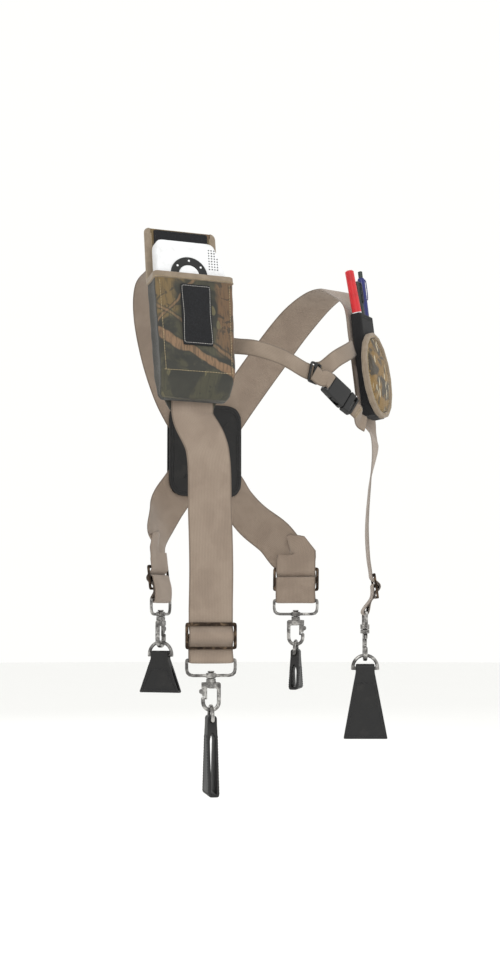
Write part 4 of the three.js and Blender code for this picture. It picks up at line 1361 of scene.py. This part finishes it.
def hull_of(points: Array) -> Array:
    """Return the corners of the outline round flat points, anticlockwise.

    Args:
        points: Flat points, two numbers each.

    Returns:
        The outline, two numbers a corner.
    """
    ordered = points[np.lexsort((points[:, 1], points[:, 0]))]
    sides = []
    for run in (ordered, ordered[::-1]):
        side: list[Array] = []
        for point in run:
            while len(side) > 1 and np.linalg.det([side[-1] - side[-2], point - side[-2]]) <= 1e-12:
                side.pop()
            side.append(point)
        sides.append(np.array(side[:-1]))
    return np.vstack(sides)


def box_ring(corner: int = 6, flat: int = 22) -> Array:
    """Return a rounded box's outline as shares: x = a (w - r) + b r and y = c (d - r) + e r.

    Args:
        corner: Points on each rounded corner.
        flat: Points on each side.

    Returns:
        Rows of a, b, c and e, starting at the middle of the front.
    """
    rows = []
    for quarter in range(4):
        start = np.pi / 2 * quarter - np.pi / 2
        turn = start + np.linspace(0, np.pi / 2, corner)
        sign = np.array([[1, -1], [1, 1], [-1, 1], [-1, -1]])[quarter]
        ends = np.array([[1, -1], [1, 1], [-1, 1], [-1, -1], [1, -1]])
        rows.append(np.stack([np.full(corner, sign[0]), np.cos(turn), np.full(corner, sign[1]), np.sin(turn)], -1))
        slide = np.linspace(0, 1, flat + 2)[1:-1, None]
        between = ends[quarter] * (1 - slide) + ends[quarter + 1] * slide
        out = np.array([np.cos(start + np.pi / 2), np.sin(start + np.pi / 2)])
        rows.append(np.stack([between[:, 0], np.full(flat, out[0]), between[:, 1], np.full(flat, out[1])], -1))
    return np.roll(np.vstack(rows), flat // 2, axis=0)


@dataclass
class Bag:
    """An open-topped fabric case: a rounded box lofted through heights, with an inner wall.

    Its faces swell and its sides pull in by sin(pi u) sin(pi v), and low wrinkles of
    sin(a x + b z) cross it near the foot.
    """

    place: Place
    heights: Array
    half_widths: Array
    fronts: Array
    backs: Array
    corner: float
    wall: float
    swell: float
    pinch: float
    wrinkle: float = 0.0

    def shell(self, rows: int, inset: float = 0.0) -> Array:
        """Return the rings of one wall in the bag's frame.

        Args:
            rows: How many rings from foot to rim.
            inset: How far inside the outer wall it lies.
        """
        z = np.linspace(self.heights[0] + inset, self.heights[-1], rows)
        width = np.interp(z, self.heights, self.half_widths) - inset
        front = np.interp(z, self.heights, self.fronts) + inset
        back = np.interp(z, self.heights, self.backs) - inset
        radius = np.minimum(max(self.corner - inset, 0.5 * MM), (back - front) / 2.2)[:, None]
        a, b, c, e = box_ring().T
        half = ((back - front) / 2)[:, None]
        x = a * (width[:, None] - radius) + b * radius
        y = ((front + back) / 2)[:, None] + c * (half - radius) + e * radius
        tall = np.sin(np.pi * (z - z[0]) / (z[-1] - z[0]))[:, None]
        facing = np.clip(-e, 0, 1) * (np.abs(c) > 0.999)
        beside = np.abs(b) * (np.abs(a) > 0.999)
        y = y - facing * self.swell * np.cos(np.pi / 2 * a * 0.98) * tall
        x = x - np.sign(a) * beside * self.pinch * np.cos(np.pi / 2 * np.clip(c, -1, 1)) * (0.35 + 0.65 * tall)
        low = np.exp(-(((z - z[0]) / (34 * MM)) ** 2))[:, None]
        fold = np.sin(170 * x + 240 * z[:, None]) + 0.6 * np.sin(330 * x - 160 * z[:, None] + 1.3)
        y = y + facing * self.wrinkle * fold * (low + 0.22)
        x = x + beside * self.wrinkle * np.sin(260 * z[:, None] + 3 * a) * 0.8
        return np.stack([x, y, np.broadcast_to(z[:, None], x.shape)], -1)

    def front_at(self, x: Array, z: Array) -> Array:
        """Return how far towards the wearer the front stands at places on it.

        Args:
            x: Places across.
            z: Places up.

        Returns:
            The depths there.
        """
        shell = self.shell(SCAN_ROWS)
        facing = shell[:, :, 1] < np.interp(shell[:, :, 2], self.heights, (self.fronts + self.backs) / 2)
        out = np.empty(len(x))
        row = np.clip(np.searchsorted(shell[:, 0, 2], z), 0, SCAN_ROWS - 1)
        for spot, (place_x, level) in enumerate(zip(x, row)):
            ring = shell[level][facing[level]]
            order = np.argsort(ring[:, 0])
            out[spot] = np.interp(place_x, ring[order, 0], ring[order, 1])
        return out

    def build(self, name: str, looks: str, node: str, rows: int = 70) -> Object:
        """Make the case: up the outer wall, over the rim and down the inner wall to its floor.

        Args:
            name: The piece's name.
            looks: The finish.
            node: The CAD node that it stands for.
            rows: Levels from foot to rim.

        Returns:
            The finished case.
        """
        outer = self.shell(rows)
        inner = self.shell(rows, self.wall)[::-1]
        foot = outer[:1].copy()
        foot[..., 0] *= 0.03
        foot[..., 1] = foot[..., 1] * 0.03 + outer[0, :, 1].mean() * 0.97
        floor = inner[-1:].copy()
        floor[..., 0] *= 0.03
        floor[..., 1] = floor[..., 1] * 0.03 + inner[-1, :, 1].mean() * 0.97
        lip = (outer[-1:] + inner[:1]) / 2 + [0, 0, self.wall * 0.3]
        grid = np.concatenate([foot, outer, lip, inner, floor])
        ring = np.concatenate([outer[rows // 2], outer[rows // 2, :1]])
        around = np.r_[0, np.cumsum(np.linalg.norm(np.diff(ring, axis=0), axis=1))]
        around = (around + around[-1] / 2) % around[-1] - around[-1] / 2
        around[-1] = around[0] if abs(around[0]) < 1 * MM else around[-1]
        level = np.concatenate([grid[..., 2], grid[:, :1, 2]], 1)
        cloth = np.stack([np.broadcast_to(around, level.shape), level], -1)
        made = skin(name, self.place.out(grid), looks, cloth)
        return dressed(made, body_for(node), node)


def domes(name: str, centres: Array, out: Array, radius: float, height: float, looks: str, body: str) -> Object:
    """Make low domes: points at r cos(t) round each centre, raised by height sin(t).

    Args:
        name: The piece's name.
        centres: Where the domes stand.
        out: The way they point.
        radius: Their radius.
        height: Their height.
        looks: The finish.
        body: The body that carries them.

    Returns:
        The finished piece.
    """
    out = np.asarray(out, float) / np.linalg.norm(out)
    side = np.cross(out, [0.0, 0.0, 1.0])
    side /= np.linalg.norm(side)
    up = np.cross(side, out)
    turn = np.linspace(0, TAU, DOME_SIDES, endpoint=False)
    rise = np.linspace(-0.5, np.pi / 2 - 0.12, DOME_ROWS)
    ring = side * np.cos(turn)[:, None] + up * np.sin(turn)[:, None]
    one = np.cos(rise)[:, None, None] * radius * ring + (np.sin(rise) * height)[:, None, None] * out
    points = (np.asarray(centres)[:, None, None] + one).reshape(-1, 3)
    offset = np.arange(len(centres))[:, None, None] * DOME_ROWS * DOME_SIDES
    quads = (grid_faces(DOME_ROWS, DOME_SIDES, True)[None] + offset).reshape(-1, 4)
    caps = (np.array([list(range(9, -1, -1)), list(range(40, 50))])[None] + offset).reshape(-1, 10)
    faces = quads.tolist() + caps.tolist()
    if volume(points - points.mean(0), faces) < 0:
        faces = [face[::-1] for face in faces]
    return dressed(as_object(name, points, faces, looks), body)


# ---------------------------------------------------------------- handset pouch


@dataclass
class Pouch:
    """The handset pouch with its flap, front strip, rim binding and chest panel."""

    straps: Straps
    gusset_height: float = 24 * MM
    gusset_depth: float = 12 * MM
    wall: float = 1.9 * MM
    corner: float = 4.5 * MM
    tape_height: float = 9 * MM
    edge_tape: float = 9.5 * MM
    place: Place = field(default_factory=lambda: plate_place("pouch_front_strip"))

    def build(self) -> None:
        """Make the pouch."""
        low, high = size_in(self.place, "pouch_shell")
        narrow = high[0] - 3 * MM
        heights = np.array([low[2], low[2] + 3 * MM, low[2] + self.gusset_height, high[2]])
        self.bag = Bag(
            place=self.place,
            heights=heights,
            half_widths=np.array([narrow - 6 * MM, narrow - 3 * MM, narrow, high[0]]),
            fronts=np.array([high[1] - self.gusset_depth, high[1] - self.gusset_depth - 3 * MM,
                             low[1] + 0.4 * MM, low[1]]),
            backs=np.full(4, high[1]),
            corner=self.corner, wall=self.wall, swell=0.9 * MM, pinch=1.4 * MM, wrinkle=0.22 * MM,
        )
        self.bag.build("pouch_shell_sewn", "bark_print", "pouch_shell")
        self._binding(high)
        self._strip()
        self._flap()
        self._panel()
        self._seams(low, high)

    def _ring(self, z: float, out: float, turns: Array) -> tuple[Array, Array]:
        """Return places round the front and sides at a height, and the way out of the cloth there.

        Args:
            z: The height.
            out: How far off the cloth the places stand.
            turns: Places round the outline, as shares of a turn.

        Returns:
            The places and the ways out.
        """
        shell = self.bag.shell(SCAN_ROWS)
        ring = shell[int(np.clip(np.searchsorted(shell[:, 0, 2], z), 0, SCAN_ROWS - 1))]
        closed = np.vstack([ring, ring[:1]])
        lengths = np.r_[0, np.cumsum(np.linalg.norm(np.diff(closed, axis=0), axis=1))]
        at = (turns * lengths[-1]) % lengths[-1]
        spots = np.stack([np.interp(at, lengths, closed[:, k]) for k in range(3)], -1)
        ahead = np.stack([np.interp((at + 0.4 * MM) % lengths[-1], lengths, closed[:, k]) for k in range(3)], -1)
        way = np.cross(ahead - spots, [0, 0, 1.0])
        way /= np.linalg.norm(way, axis=1, keepdims=True)
        return spots + way * out, way

    def _binding(self, high: Array) -> None:
        """Bind the rim with tape on the front and both sides.

        Args:
            high: The pouch's highest corner.
        """
        turns = np.linspace(-0.335, 0.335, 150)
        spots, way = self._ring(high[2] - 1 * MM, -self.wall / 2, turns)
        spots[:, 2] = high[2] - self.tape_height / 2 + 0.9 * MM
        count = len(turns)
        run = Run(
            self.place.out(spots),
            np.tile(self.place.axes[2] * self.tape_height, (count, 1)),
            way @ self.place.axes * (self.wall + 1.8 * MM),
        )
        dressed(ribbon("pouch_rim_tape", run, "tape", 8), "harness", "pouch_rim_binding")
        line, out = self._ring(high[2] - self.tape_height + 1.6 * MM, 1.0 * MM, turns[8:-8])
        line[:, 2] = high[2] - self.tape_height + 2.6 * MM
        dressed(stitches("pouch_rim_seam", self.place.out(line), out @ self.place.axes, "tan_thread", 3 * MM,
                         0.34 * MM), "harness")

    def _strip(self) -> None:
        """Sew the dark hook strip on the front, with pale thread round its edge."""
        strip = Pad("pouch_front_strip", self.place, "loop_pile", crown=0.7 * MM, ease=0.7 * MM, proud=0.2 * MM)
        strip.front -= 0.5 * MM
        strip.build()
        half = np.array([np.cos(strip.turn), np.sin(strip.turn)]).T * (strip.radius - 2.2 * MM)[:, None]
        strip.sew("pouch_strip_seam", np.vstack([half, half[:1]]), "grey_thread", pitch=2.7 * MM, thread=0.34 * MM)

    def _flap(self) -> None:
        """Make the flap that stands behind the handset, its lining and its edge tape."""
        flap = Pad("pouch_flap", self.place, "bark_print", crown=0.2 * MM, back_crown=1.2 * MM, ease=1.1 * MM)
        flap.build()
        lining = Pad("flap_loop_patch", self.place, "loop_pile", crown=0.5 * MM, ease=0.7 * MM)
        lining.build()
        lining.seam("flap_lining_seam", 2 * MM, "black_thread", pitch=2.8 * MM, thread=0.32 * MM)
        low, high = size_in(self.place, "pouch_flap")
        half = (high[0] - low[0]) / 2
        tall = (high[2] - low[2]) / 2
        middle = (flap.front + flap.back) / 2
        corner = 6 * MM
        bend = np.linspace(0, np.pi / 2, 9)
        right = np.stack([half - corner + corner * np.cos(bend), tall - corner + corner * np.sin(bend)], -1)
        left = np.stack([-right[::-1, 0], right[::-1, 1]], -1)
        round_edge = dense(np.vstack([[half, -tall + 1 * MM], right, left, [-half, -tall + 1 * MM]]), 2 * MM)
        way = np.gradient(round_edge, axis=0)
        out = np.stack([way[:, 1], -way[:, 0]], -1) / np.linalg.norm(way, axis=1, keepdims=True)
        inner = round_edge - out * (self.edge_tape / 2 - 0.9 * MM)
        centre = np.stack([inner[:, 0] + flap.middle[0], np.full(len(inner), middle), inner[:, 1] + flap.middle[1]], -1)
        sides = np.abs(round_edge[:, 0]) > half - corner - 1 * MM
        for name, keep in (("left", sides & (round_edge[:, 0] > 0)), ("right", sides & (round_edge[:, 0] < 0))):
            across = np.stack([out[:, 0], np.zeros(len(out)), out[:, 1]], -1)[keep] * self.edge_tape
            run = Run(
                self.place.out(centre[keep]),
                across @ self.place.axes,
                np.tile(self.place.axes[1] * (flap.back - flap.front + 1.7 * MM), (int(keep.sum()), 1)),
            )
            dressed(ribbon(f"flap_{name}_tape", run, "tape", 8), "flap")
            line = inner[keep] - out[keep] * 3 * MM
            spots = np.stack([line[:, 0] + flap.middle[0], np.full(len(line), flap.front - 0.75 * MM),
                              line[:, 1] + flap.middle[1]], -1)
            dressed(stitches(f"flap_{name}_seam", self.place.out(spots), -self.place.axes[1], "tan_thread", 3 * MM,
                             0.34 * MM), "flap")

    def _panel(self) -> None:
        """Make the chest panel that the pouch hangs on."""
        panel = Pad("chest_panel", self.place, "bark_print", crown=0.1 * MM, back_crown=0.3 * MM, ease=1.1 * MM)
        panel.build()
        foot = panel.middle[1] - np.ptp(self.place.into(corners("chest_panel"))[:, 2]) / 2
        for row in range(2):
            level = foot + (3.2 + 2.4 * row) * MM - panel.middle[1]
            panel.sew(f"chest_panel_bar_{row}", np.array([[-17 * MM, level], [17 * MM, level]]), "tan_thread",
                      pitch=2.6 * MM, thread=0.36 * MM)

    def _seams(self, low: Array, high: Array) -> None:
        """Sew the front panel's edges: down both sides and across above the gusset.

        Args:
            low: The pouch's lowest corner.
            high: Its highest corner.
        """
        level = low[2] + self.gusset_height + 1.5 * MM
        x = np.linspace(-1, 1, 60) * (high[0] - 6 * MM)
        foot = np.stack([x, np.zeros(60), np.full(60, level)], -1)
        z = np.linspace(level, high[2] - self.tape_height - 1 * MM, 70)
        for name, across, up in (
            ("foot", foot[:, 0], foot[:, 2]),
            ("right", np.interp(z, self.bag.heights, -self.bag.half_widths) + 5.2 * MM, z),
            ("left", np.interp(z, self.bag.heights, self.bag.half_widths) - 5.2 * MM, z),
        ):
            path = np.stack([across, self.bag.front_at(across, up), up], -1)
            dressed(stitches(f"pouch_{name}_seam", self.place.out(path), -self.place.axes[1], "tan_thread", 3.2 * MM,
                             0.32 * MM), "harness")


@dataclass
class Handset:
    """The white handset with its ring pad, centre button and speaker holes."""

    hole_pitch: float = 3.3 * MM
    place: Place = field(default_factory=lambda: plate_place("pouch_front_strip"))

    def build(self) -> None:
        """Make the handset's pieces."""
        case = Pad("handset_body", self.place, "white_plastic", crown=0.2 * MM, ease=3.2 * MM, columns=180)
        case.build()
        low, high = size_in(self.place, "handset_ring_pad")
        centre = (low + high) / 2
        self._ring(low, high, centre)
        Pad("handset_centre_button", self.place, "white_plastic", crown=0.7 * MM, ease=0.5 * MM).build()
        top = size_in(self.place, "handset_body")[1][2]
        across, up = np.meshgrid(np.arange(5), np.arange(8))
        spots = np.stack([21 * MM + across * self.hole_pitch, np.full(across.shape, case.front - 0.15 * MM),
                          top - 9 * MM - up * self.hole_pitch], -1).reshape(-1, 3)
        spots = spots[spots[:, 0] < 33 * MM - np.clip(spots[:, 2] - top + 30 * MM, 0, 1) * 0.16]
        clear = np.hypot(spots[:, 0] - centre[0], spots[:, 2] - centre[2]) > (high[0] - low[0]) / 2 + 2 * MM
        # Painted shade: the speaker holes are not cut; low black domes on the case stand in for them, dark as the shade
        # inside a hole.
        domes("handset_speaker_holes", self.place.out(spots[clear]), -self.place.axes[1], 0.85 * MM, 0.25 * MM,
              "black_plastic", "handset")

    def _ring(self, low: Array, high: Array, centre: Array) -> None:
        """Make the ring pad: a band of radius r with a low crown, and four small marks on it.

        Args:
            low: The CAD ring pad's lowest corner.
            high: Its highest corner.
            centre: Its middle.
        """
        outer = (high[0] - low[0]) / 2
        inner = (size_in(self.place, "handset_centre_button")[1][0] - centre[0]) + 0.35 * MM
        turn = np.linspace(0, TAU, 96, endpoint=False)
        t = np.linspace(0, TAU, 28, endpoint=False)
        reach = (outer + inner) / 2 + (outer - inner) / 2 * np.sign(np.cos(t)) * np.abs(np.cos(t)) ** 0.35
        level = centre[1] - (high[1] - low[1]) / 2 * np.sign(np.sin(t)) * np.abs(np.sin(t)) ** 0.5
        level = level - 0.35 * MM * (np.sin(t) > 0) * np.sin(t)
        x = centre[0] + np.cos(turn)[:, None] * reach
        z = centre[2] + np.sin(turn)[:, None] * reach
        grid = np.stack([x, np.broadcast_to(level, x.shape), z], -1)
        closed = np.concatenate([grid, grid[:1]])
        ring = skin("handset_ring_pad_moulded", self.place.out(closed), "black_plastic", capped=False)
        weld(ring)
        dressed(ring, body_for("handset_ring_pad"), "handset_ring_pad")
        middle = (outer + inner) / 2
        ways = np.array([[0, 1], [0.8, 0.6], [0, -1], [-0.8, 0.6]])
        spots = np.stack([centre[0] + ways[:, 0] * middle, np.full(4, low[1] - 0.5 * MM),
                          centre[2] + ways[:, 1] * middle], -1)
        domes("ring_pad_marks", self.place.out(spots), -self.place.axes[1], 1.3 * MM, 0.3 * MM, "white_plastic",
              body_for("handset_ring_pad"))


def weld(piece: Object) -> None:
    """Join points of a piece that lie in the same place."""
    welder = piece.modifiers.new("weld", "WELD")
    welder.merge_threshold = 1e-6
    apply_modifiers(piece)


# ---------------------------------------------------------------- pen pocket


@dataclass
class PenPocket:
    """The padded oval pocket with its sleeve, marker and pens."""

    rim: float = 6 * MM
    swell_cap: float = 2.6 * MM
    place: Place = field(default_factory=lambda: plate_place("pen_pocket_front"))

    def build(self) -> None:
        """Make the pocket and what it carries."""
        self._front()
        self._binding()
        self._sleeve()
        for node, looks in (("red_marker_barrel", "red_plastic"), ("red_marker_cap", "red_plastic"),
                            ("black_pen", "dark_plastic"), ("blue_pen_barrel", "blue_plastic"),
                            ("blue_pen_button", "dark_plastic")):
            turned_from(node, looks, 0.6 * MM)
        self._cap_ring()
        self._clip("black_pen", "black_plastic", 0.0)
        self._clip("blue_pen_barrel", "blue_plastic", 0.5)

    def _front(self) -> None:
        """Make the padded oval: pumped up as cloth, then covered in leaf print."""
        pad = Pad("pen_pocket_front", self.place, "leaf_print", crown=1.6 * MM, ease=1.4 * MM)
        piece = pad.build("pen_pocket_padding")
        inflate(piece, 2.2 * MM, 4.0, self.swell_cap, self.place)
        lay_flat_cloth(piece, self.place)
        pad.crown += 1.2 * MM
        pad.seam("pen_pocket_seam", 1.6 * MM, "tan_thread", thread=0.3 * MM)

    def _binding(self) -> None:
        """Bind the oval's edge: a flattened ring carried round the outline."""
        edge = Pad("pen_pocket_binding", self.place, "tape")
        turn = np.linspace(0, TAU, 22, endpoint=False)
        flat = np.abs(np.cos(turn)) ** 0.7 * np.sign(np.cos(turn))
        rise = np.abs(np.sin(turn)) ** 0.6 * np.sign(np.sin(turn))
        radius = edge.radius - self.rim / 2
        reach = radius[:, None] + flat * (self.rim / 2 + 0.3 * MM)
        thick = (edge.back - edge.front) / 2 + 0.5 * MM
        level = (edge.front + edge.back) / 2 - rise * thick
        ripple = 0.12 * MM * np.sin(edge.turn * 46)[:, None]
        grid = np.stack([
            edge.middle[0] + edge.ways[:, :1] * (reach + ripple),
            np.broadcast_to(level, reach.shape),
            edge.middle[1] + edge.ways[:, 1:] * (reach + ripple),
        ], -1)
        closed = np.concatenate([grid, grid[:1]])
        around = np.r_[0, np.cumsum(np.linalg.norm(np.diff(np.vstack([radius[:, None] * edge.ways,
                       radius[:1, None] * edge.ways[:1]]), axis=0), axis=1))]
        span = np.linspace(0, 2.6 * self.rim, len(turn) + 1)
        cloth = np.stack(np.broadcast_arrays(span[None], around[:, None]), -1)
        ring = skin("pen_pocket_tape", self.place.out(closed), "tape", cloth, capped=False)
        weld(ring)
        dressed(ring, "harness", "pen_pocket_binding")
        path = edge.ways * (radius - 1.2 * MM)[:, None]
        spots = np.stack([path[:, 0] + edge.middle[0], np.full(len(path), (edge.front + edge.back) / 2 - thick * 0.97),
                          path[:, 1] + edge.middle[1]], -1)
        row = stitches("pen_pocket_tape_seam", self.place.out(np.vstack([spots, spots[:1]])), -self.place.axes[1],
                       "tan_thread", 2.8 * MM, 0.32 * MM)
        dressed(row, "harness")

    def _sleeve(self) -> None:
        """Make the dark sleeve that the pens stand in."""
        low, high = size_in(self.place, "pen_sleeve")
        middle = (low[0] + high[0]) / 2
        place = self.place.shifted(x=middle)
        half = (high[0] - low[0]) / 2
        heights = np.array([low[2], low[2] + 4 * MM, high[2]])
        self.sleeve = Bag(place, heights, np.array([half - 2 * MM, half, half]), np.full(3, low[1]),
                          np.full(3, high[1]), 3.4 * MM, 1.4 * MM, 0.3 * MM, 0.5 * MM, 0.12 * MM)
        self.sleeve.build("pen_sleeve_sewn", "black_cloth", "pen_sleeve", 60)
        x = np.linspace(-1, 1, 30) * (half - 4 * MM)
        for row, drop in enumerate((2.4, 5.0)):
            z = np.full(30, high[2] - drop * MM)
            path = np.stack([x, self.sleeve.front_at(x, z), z], -1)
            dressed(stitches(f"pen_sleeve_hem_{row}", place.out(path), -place.axes[1], "black_thread", 2.8 * MM,
                             0.3 * MM), "harness")

    def _cap_ring(self) -> None:
        """Put the pale ring on the marker's barrel, just below its cap."""
        low, _, axis, middle, radius = rod("red_marker_cap")
        base = middle + axis * (low - 0.2 * MM)
        made = revolved("red_marker_ring", base, base + axis,
                        [(0, radius - 1.2 * MM), (0.1 * MM, radius + 0.1 * MM), (1.3 * MM, radius + 0.1 * MM),
                         (1.4 * MM, radius - 1.2 * MM)], "white_plastic")
        dressed(made, body_for("red_marker_cap"))

    def _clip(self, node: str, looks: str, turn: float) -> None:
        """Fit a pocket clip that stands off a pen's barrel: a strip along its axis, rising at the top.

        Args:
            node: The pen.
            looks: The clip's finish.
            turn: Radians round the barrel from the front.
        """
        _, high, axis, middle, radius = rod(node)
        out = -self.place.axes[1] * np.cos(turn) + self.place.axes[0] * np.sin(turn)
        out = out - axis * (out @ axis)
        out /= np.linalg.norm(out)
        t = np.linspace(0, 1, 26)[:, None]
        lift = radius + 0.9 * MM + 0.4 * MM * np.sin(np.pi * t) - 0.7 * MM * (t > 0.93) - 0.3 * MM * (t < 0.05)
        centre = middle + axis * (high - 2 * MM - (1 - t) * 26 * MM) + out * lift
        count = len(t)
        run = Run(centre, np.tile(np.cross(axis, out) * 2.6 * MM, (count, 1)), np.tile(out * 1.0 * MM, (count, 1)))
        dressed(ribbon(f"{node}_clip", run, looks, 6), body_for(node))


def rod(node: str) -> tuple[float, float, Array, Array, float]:
    """Return a long round node's lowest and highest place on its axis, the axis, its middle and radius.

    Args:
        node: The CAD node.

    Returns:
        Lowest and highest place on the axis, the axis, its middle and the radius.
    """
    points = corners(node)
    middle = points.mean(0)
    _, axes = np.linalg.eigh(np.cov((points - middle).T))
    axis = axes[:, 2] * np.sign(axes[2, 2])
    height = (points - middle) @ axis
    radius = np.linalg.norm((points - middle) - height[:, None] * axis, axis=1).max()
    return float(height.min()), float(height.max()), axis, middle, float(radius)


def inflate(piece: Object, voxel: float, pressure: float, cap: float, place: Place) -> None:
    """Pump a closed piece up as cloth and keep the result.

    Args:
        piece: The piece, remeshed first.
        voxel: The size of the new faces.
        pressure: The push from inside.
        cap: The furthest that a point may move.
        place: The frame whose back stays flat.
    """
    scene = bpy.context.scene
    remesh = piece.modifiers.new("fill", "REMESH")
    remesh.mode = "VOXEL"
    remesh.voxel_size = voxel
    looks = piece.data.materials[0]
    apply_modifiers(piece)
    before = np.empty(len(piece.data.vertices) * 3)
    piece.data.vertices.foreach_get("co", before)
    before = before.reshape(-1, 3)
    cloth = piece.modifiers.new("pump", "CLOTH")
    cloth.settings.quality = 5
    cloth.settings.use_pressure = True
    cloth.settings.uniform_pressure_force = pressure
    cloth.settings.effector_weights.gravity = 0
    cloth.point_cache.frame_end = 20
    for step in range(1, 21):
        scene.frame_set(step)
    graph = bpy.context.evaluated_depsgraph_get()
    pumped = piece.evaluated_get(graph).to_mesh()
    after = np.empty(len(pumped.vertices) * 3)
    pumped.vertices.foreach_get("co", after)
    piece.evaluated_get(graph).to_mesh_clear()
    piece.modifiers.clear()
    scene.frame_set(1)
    move = after.reshape(-1, 3) - before
    length = np.linalg.norm(move, axis=1, keepdims=True)
    move *= np.minimum(1, cap / np.maximum(length, 1e-9))
    move[place.into(before)[:, 1] > 0] *= 0.1
    piece.data.vertices.foreach_set("co", (before + move).ravel())
    piece.data.update()
    smoother = piece.modifiers.new("ease", "SUBSURF")
    smoother.levels = smoother.render_levels = 1
    apply_modifiers(piece)
    piece.data.materials.clear()
    piece.data.materials.append(looks)


def lay_flat_cloth(piece: Object, place: Place) -> None:
    """Give a piece cloth coordinates straight from its frame: x across and z up.

    Args:
        piece: The padded piece.
        place: The frame it lies in.
    """
    mesh = piece.data
    layer = mesh.uv_layers.get(CLOTH_MAP) or mesh.uv_layers.new(name=CLOTH_MAP)
    points = np.empty(len(mesh.vertices) * 3)
    mesh.vertices.foreach_get("co", points)
    loops = np.empty(len(mesh.loops), int)
    mesh.loops.foreach_get("vertex_index", loops)
    flat = place.into(points.reshape(-1, 3))[:, [0, 2]][loops]
    layer.data.foreach_set("uv", flat.astype(np.float32).ravel())


# ---------------------------------------------------------------- back patch and buckle


@dataclass
class BackPatch:
    """The two leather leaves sewn over the straps where they meet on the back."""

    inset: float = 4 * MM

    def build(self) -> None:
        """Make the leaves and their sewing."""
        place = plate_place("back_patch_outer")
        for node, side in (("back_patch_outer", 1), ("back_patch_inner", -1)):
            leaf = Pad(node, place, "leather", crown=0.15 * MM, ease=0.8 * MM)
            leaf.build()
            leaf.seam(f"{node}_seam", self.inset, "black_thread", side)
            leaf.seam(f"{node}_second_seam", self.inset + 3 * MM, "black_thread", side)
            for name, slope in (("rising", 1), ("falling", -1)):
                line = np.array([[-32 * MM, -slope * 38 * MM], [32 * MM, slope * 38 * MM]])
                leaf.sew(f"{node}_{name}_seam", line, "black_thread", side)


@dataclass
class Buckle:
    """The sternum buckle and the keeper."""

    voxel: float = 0.4 * MM

    def build(self) -> None:
        """Make the buckle's moulded pieces."""
        for node in ("buckle_socket", "buckle_plug", "buckle_prong_upper", "buckle_prong_lower", "sternum_keeper"):
            formed(node, "buckle_plastic", self.voxel, 4)


# ---------------------------------------------------------------- stage


@dataclass
class Stage:
    """The floor, the lights and the camera."""

    floor_drop: float = 0.12
    floor_radius: float = 9.0
    distance: float = 2.0
    turn: float = -30.0
    height: float = -0.40
    aim: float = -0.243
    lens: float = 62.0

    def build(self) -> None:
        """Set the stage."""
        bpy.context.scene.view_settings.view_transform = "Standard"
        self._floor()
        self._light("key", (-1.5, -2.4, 1.3), 1.4, 23)
        self._light("fill", (1.9, -1.9, 0.3), 1.8, 6)
        self._light("back", (0.6, 2.4, 1.2), 1.6, 10)
        world = bpy.data.worlds.new("studio")
        world.use_nodes = True
        shade = world.node_tree.nodes["Background"]
        shade.inputs["Color"].default_value = rgb(236, 236, 234)
        shade.inputs["Strength"].default_value = 1.2
        bpy.context.scene.world = world
        self._camera()

    def _floor(self) -> None:
        """Lay a round floor below the part: points at r (cos a, sin a)."""
        turn = np.linspace(0, TAU, 64, endpoint=False)
        level = CAD_BOX[0][2] - self.floor_drop
        ring = np.stack([np.cos(turn), np.sin(turn), np.zeros(64)], -1) * self.floor_radius
        floor = as_object("floor", ring + [0, 0, level], [list(range(64))], "ground")

    @staticmethod
    def _light(name: str, place: Sequence[float], size: float, power: float) -> None:
        """Hang a soft square light that points at the part's middle.

        Args:
            name: The light's name.
            place: Where it hangs.
            size: Its width in metres.
            power: Its power in watts.
        """
        lamp = bpy.data.lights.new(name, "AREA")
        lamp.size = size
        lamp.energy = power
        hung = bpy.data.objects.new(name, lamp)
        hung.location = place
        hung.rotation_euler = (Vector((0, 0, -0.28)) - Vector(place)).to_track_quat("-Z", "Y").to_euler()
        bpy.context.scene.collection.objects.link(hung)

    def _camera(self) -> None:
        """Stand the camera in front of the wearer's right side, a little low and tilted up."""
        lens = bpy.data.cameras.new("camera")
        lens.lens = self.lens
        lens.sensor_width = 36
        lens.clip_start = 0.05
        camera = bpy.data.objects.new("camera", lens)
        turn = np.radians(self.turn)
        place = Vector((self.distance * np.sin(turn), -self.distance * np.cos(turn), self.height))
        aim = Vector((-0.004 * np.cos(turn), -0.004 * np.sin(turn), self.aim))
        camera.location = place
        camera.rotation_euler = (aim - place).to_track_quat("-Z", "Y").to_euler()
        bpy.context.scene.collection.objects.link(camera)
        bpy.context.scene.camera = camera


def keep_sizes() -> None:
    """Bring the view layer up to date."""
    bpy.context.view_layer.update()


def main() -> None:
    """Build every sub-assembly in order."""
    logging.basicConfig(level=logging.INFO, format="%(message)s")
    Stage().build()
    straps = Straps()
    straps.build()
    for name in ("front_right", "front_left", "rear_right", "rear_left"):
        SnapEnd(name).build()
    Pouch(straps).build()
    Handset().build()
    PenPocket().build()
    BackPatch().build()
    Buckle().build()
    keep_sizes()


if __name__ == "__main__":
    main()
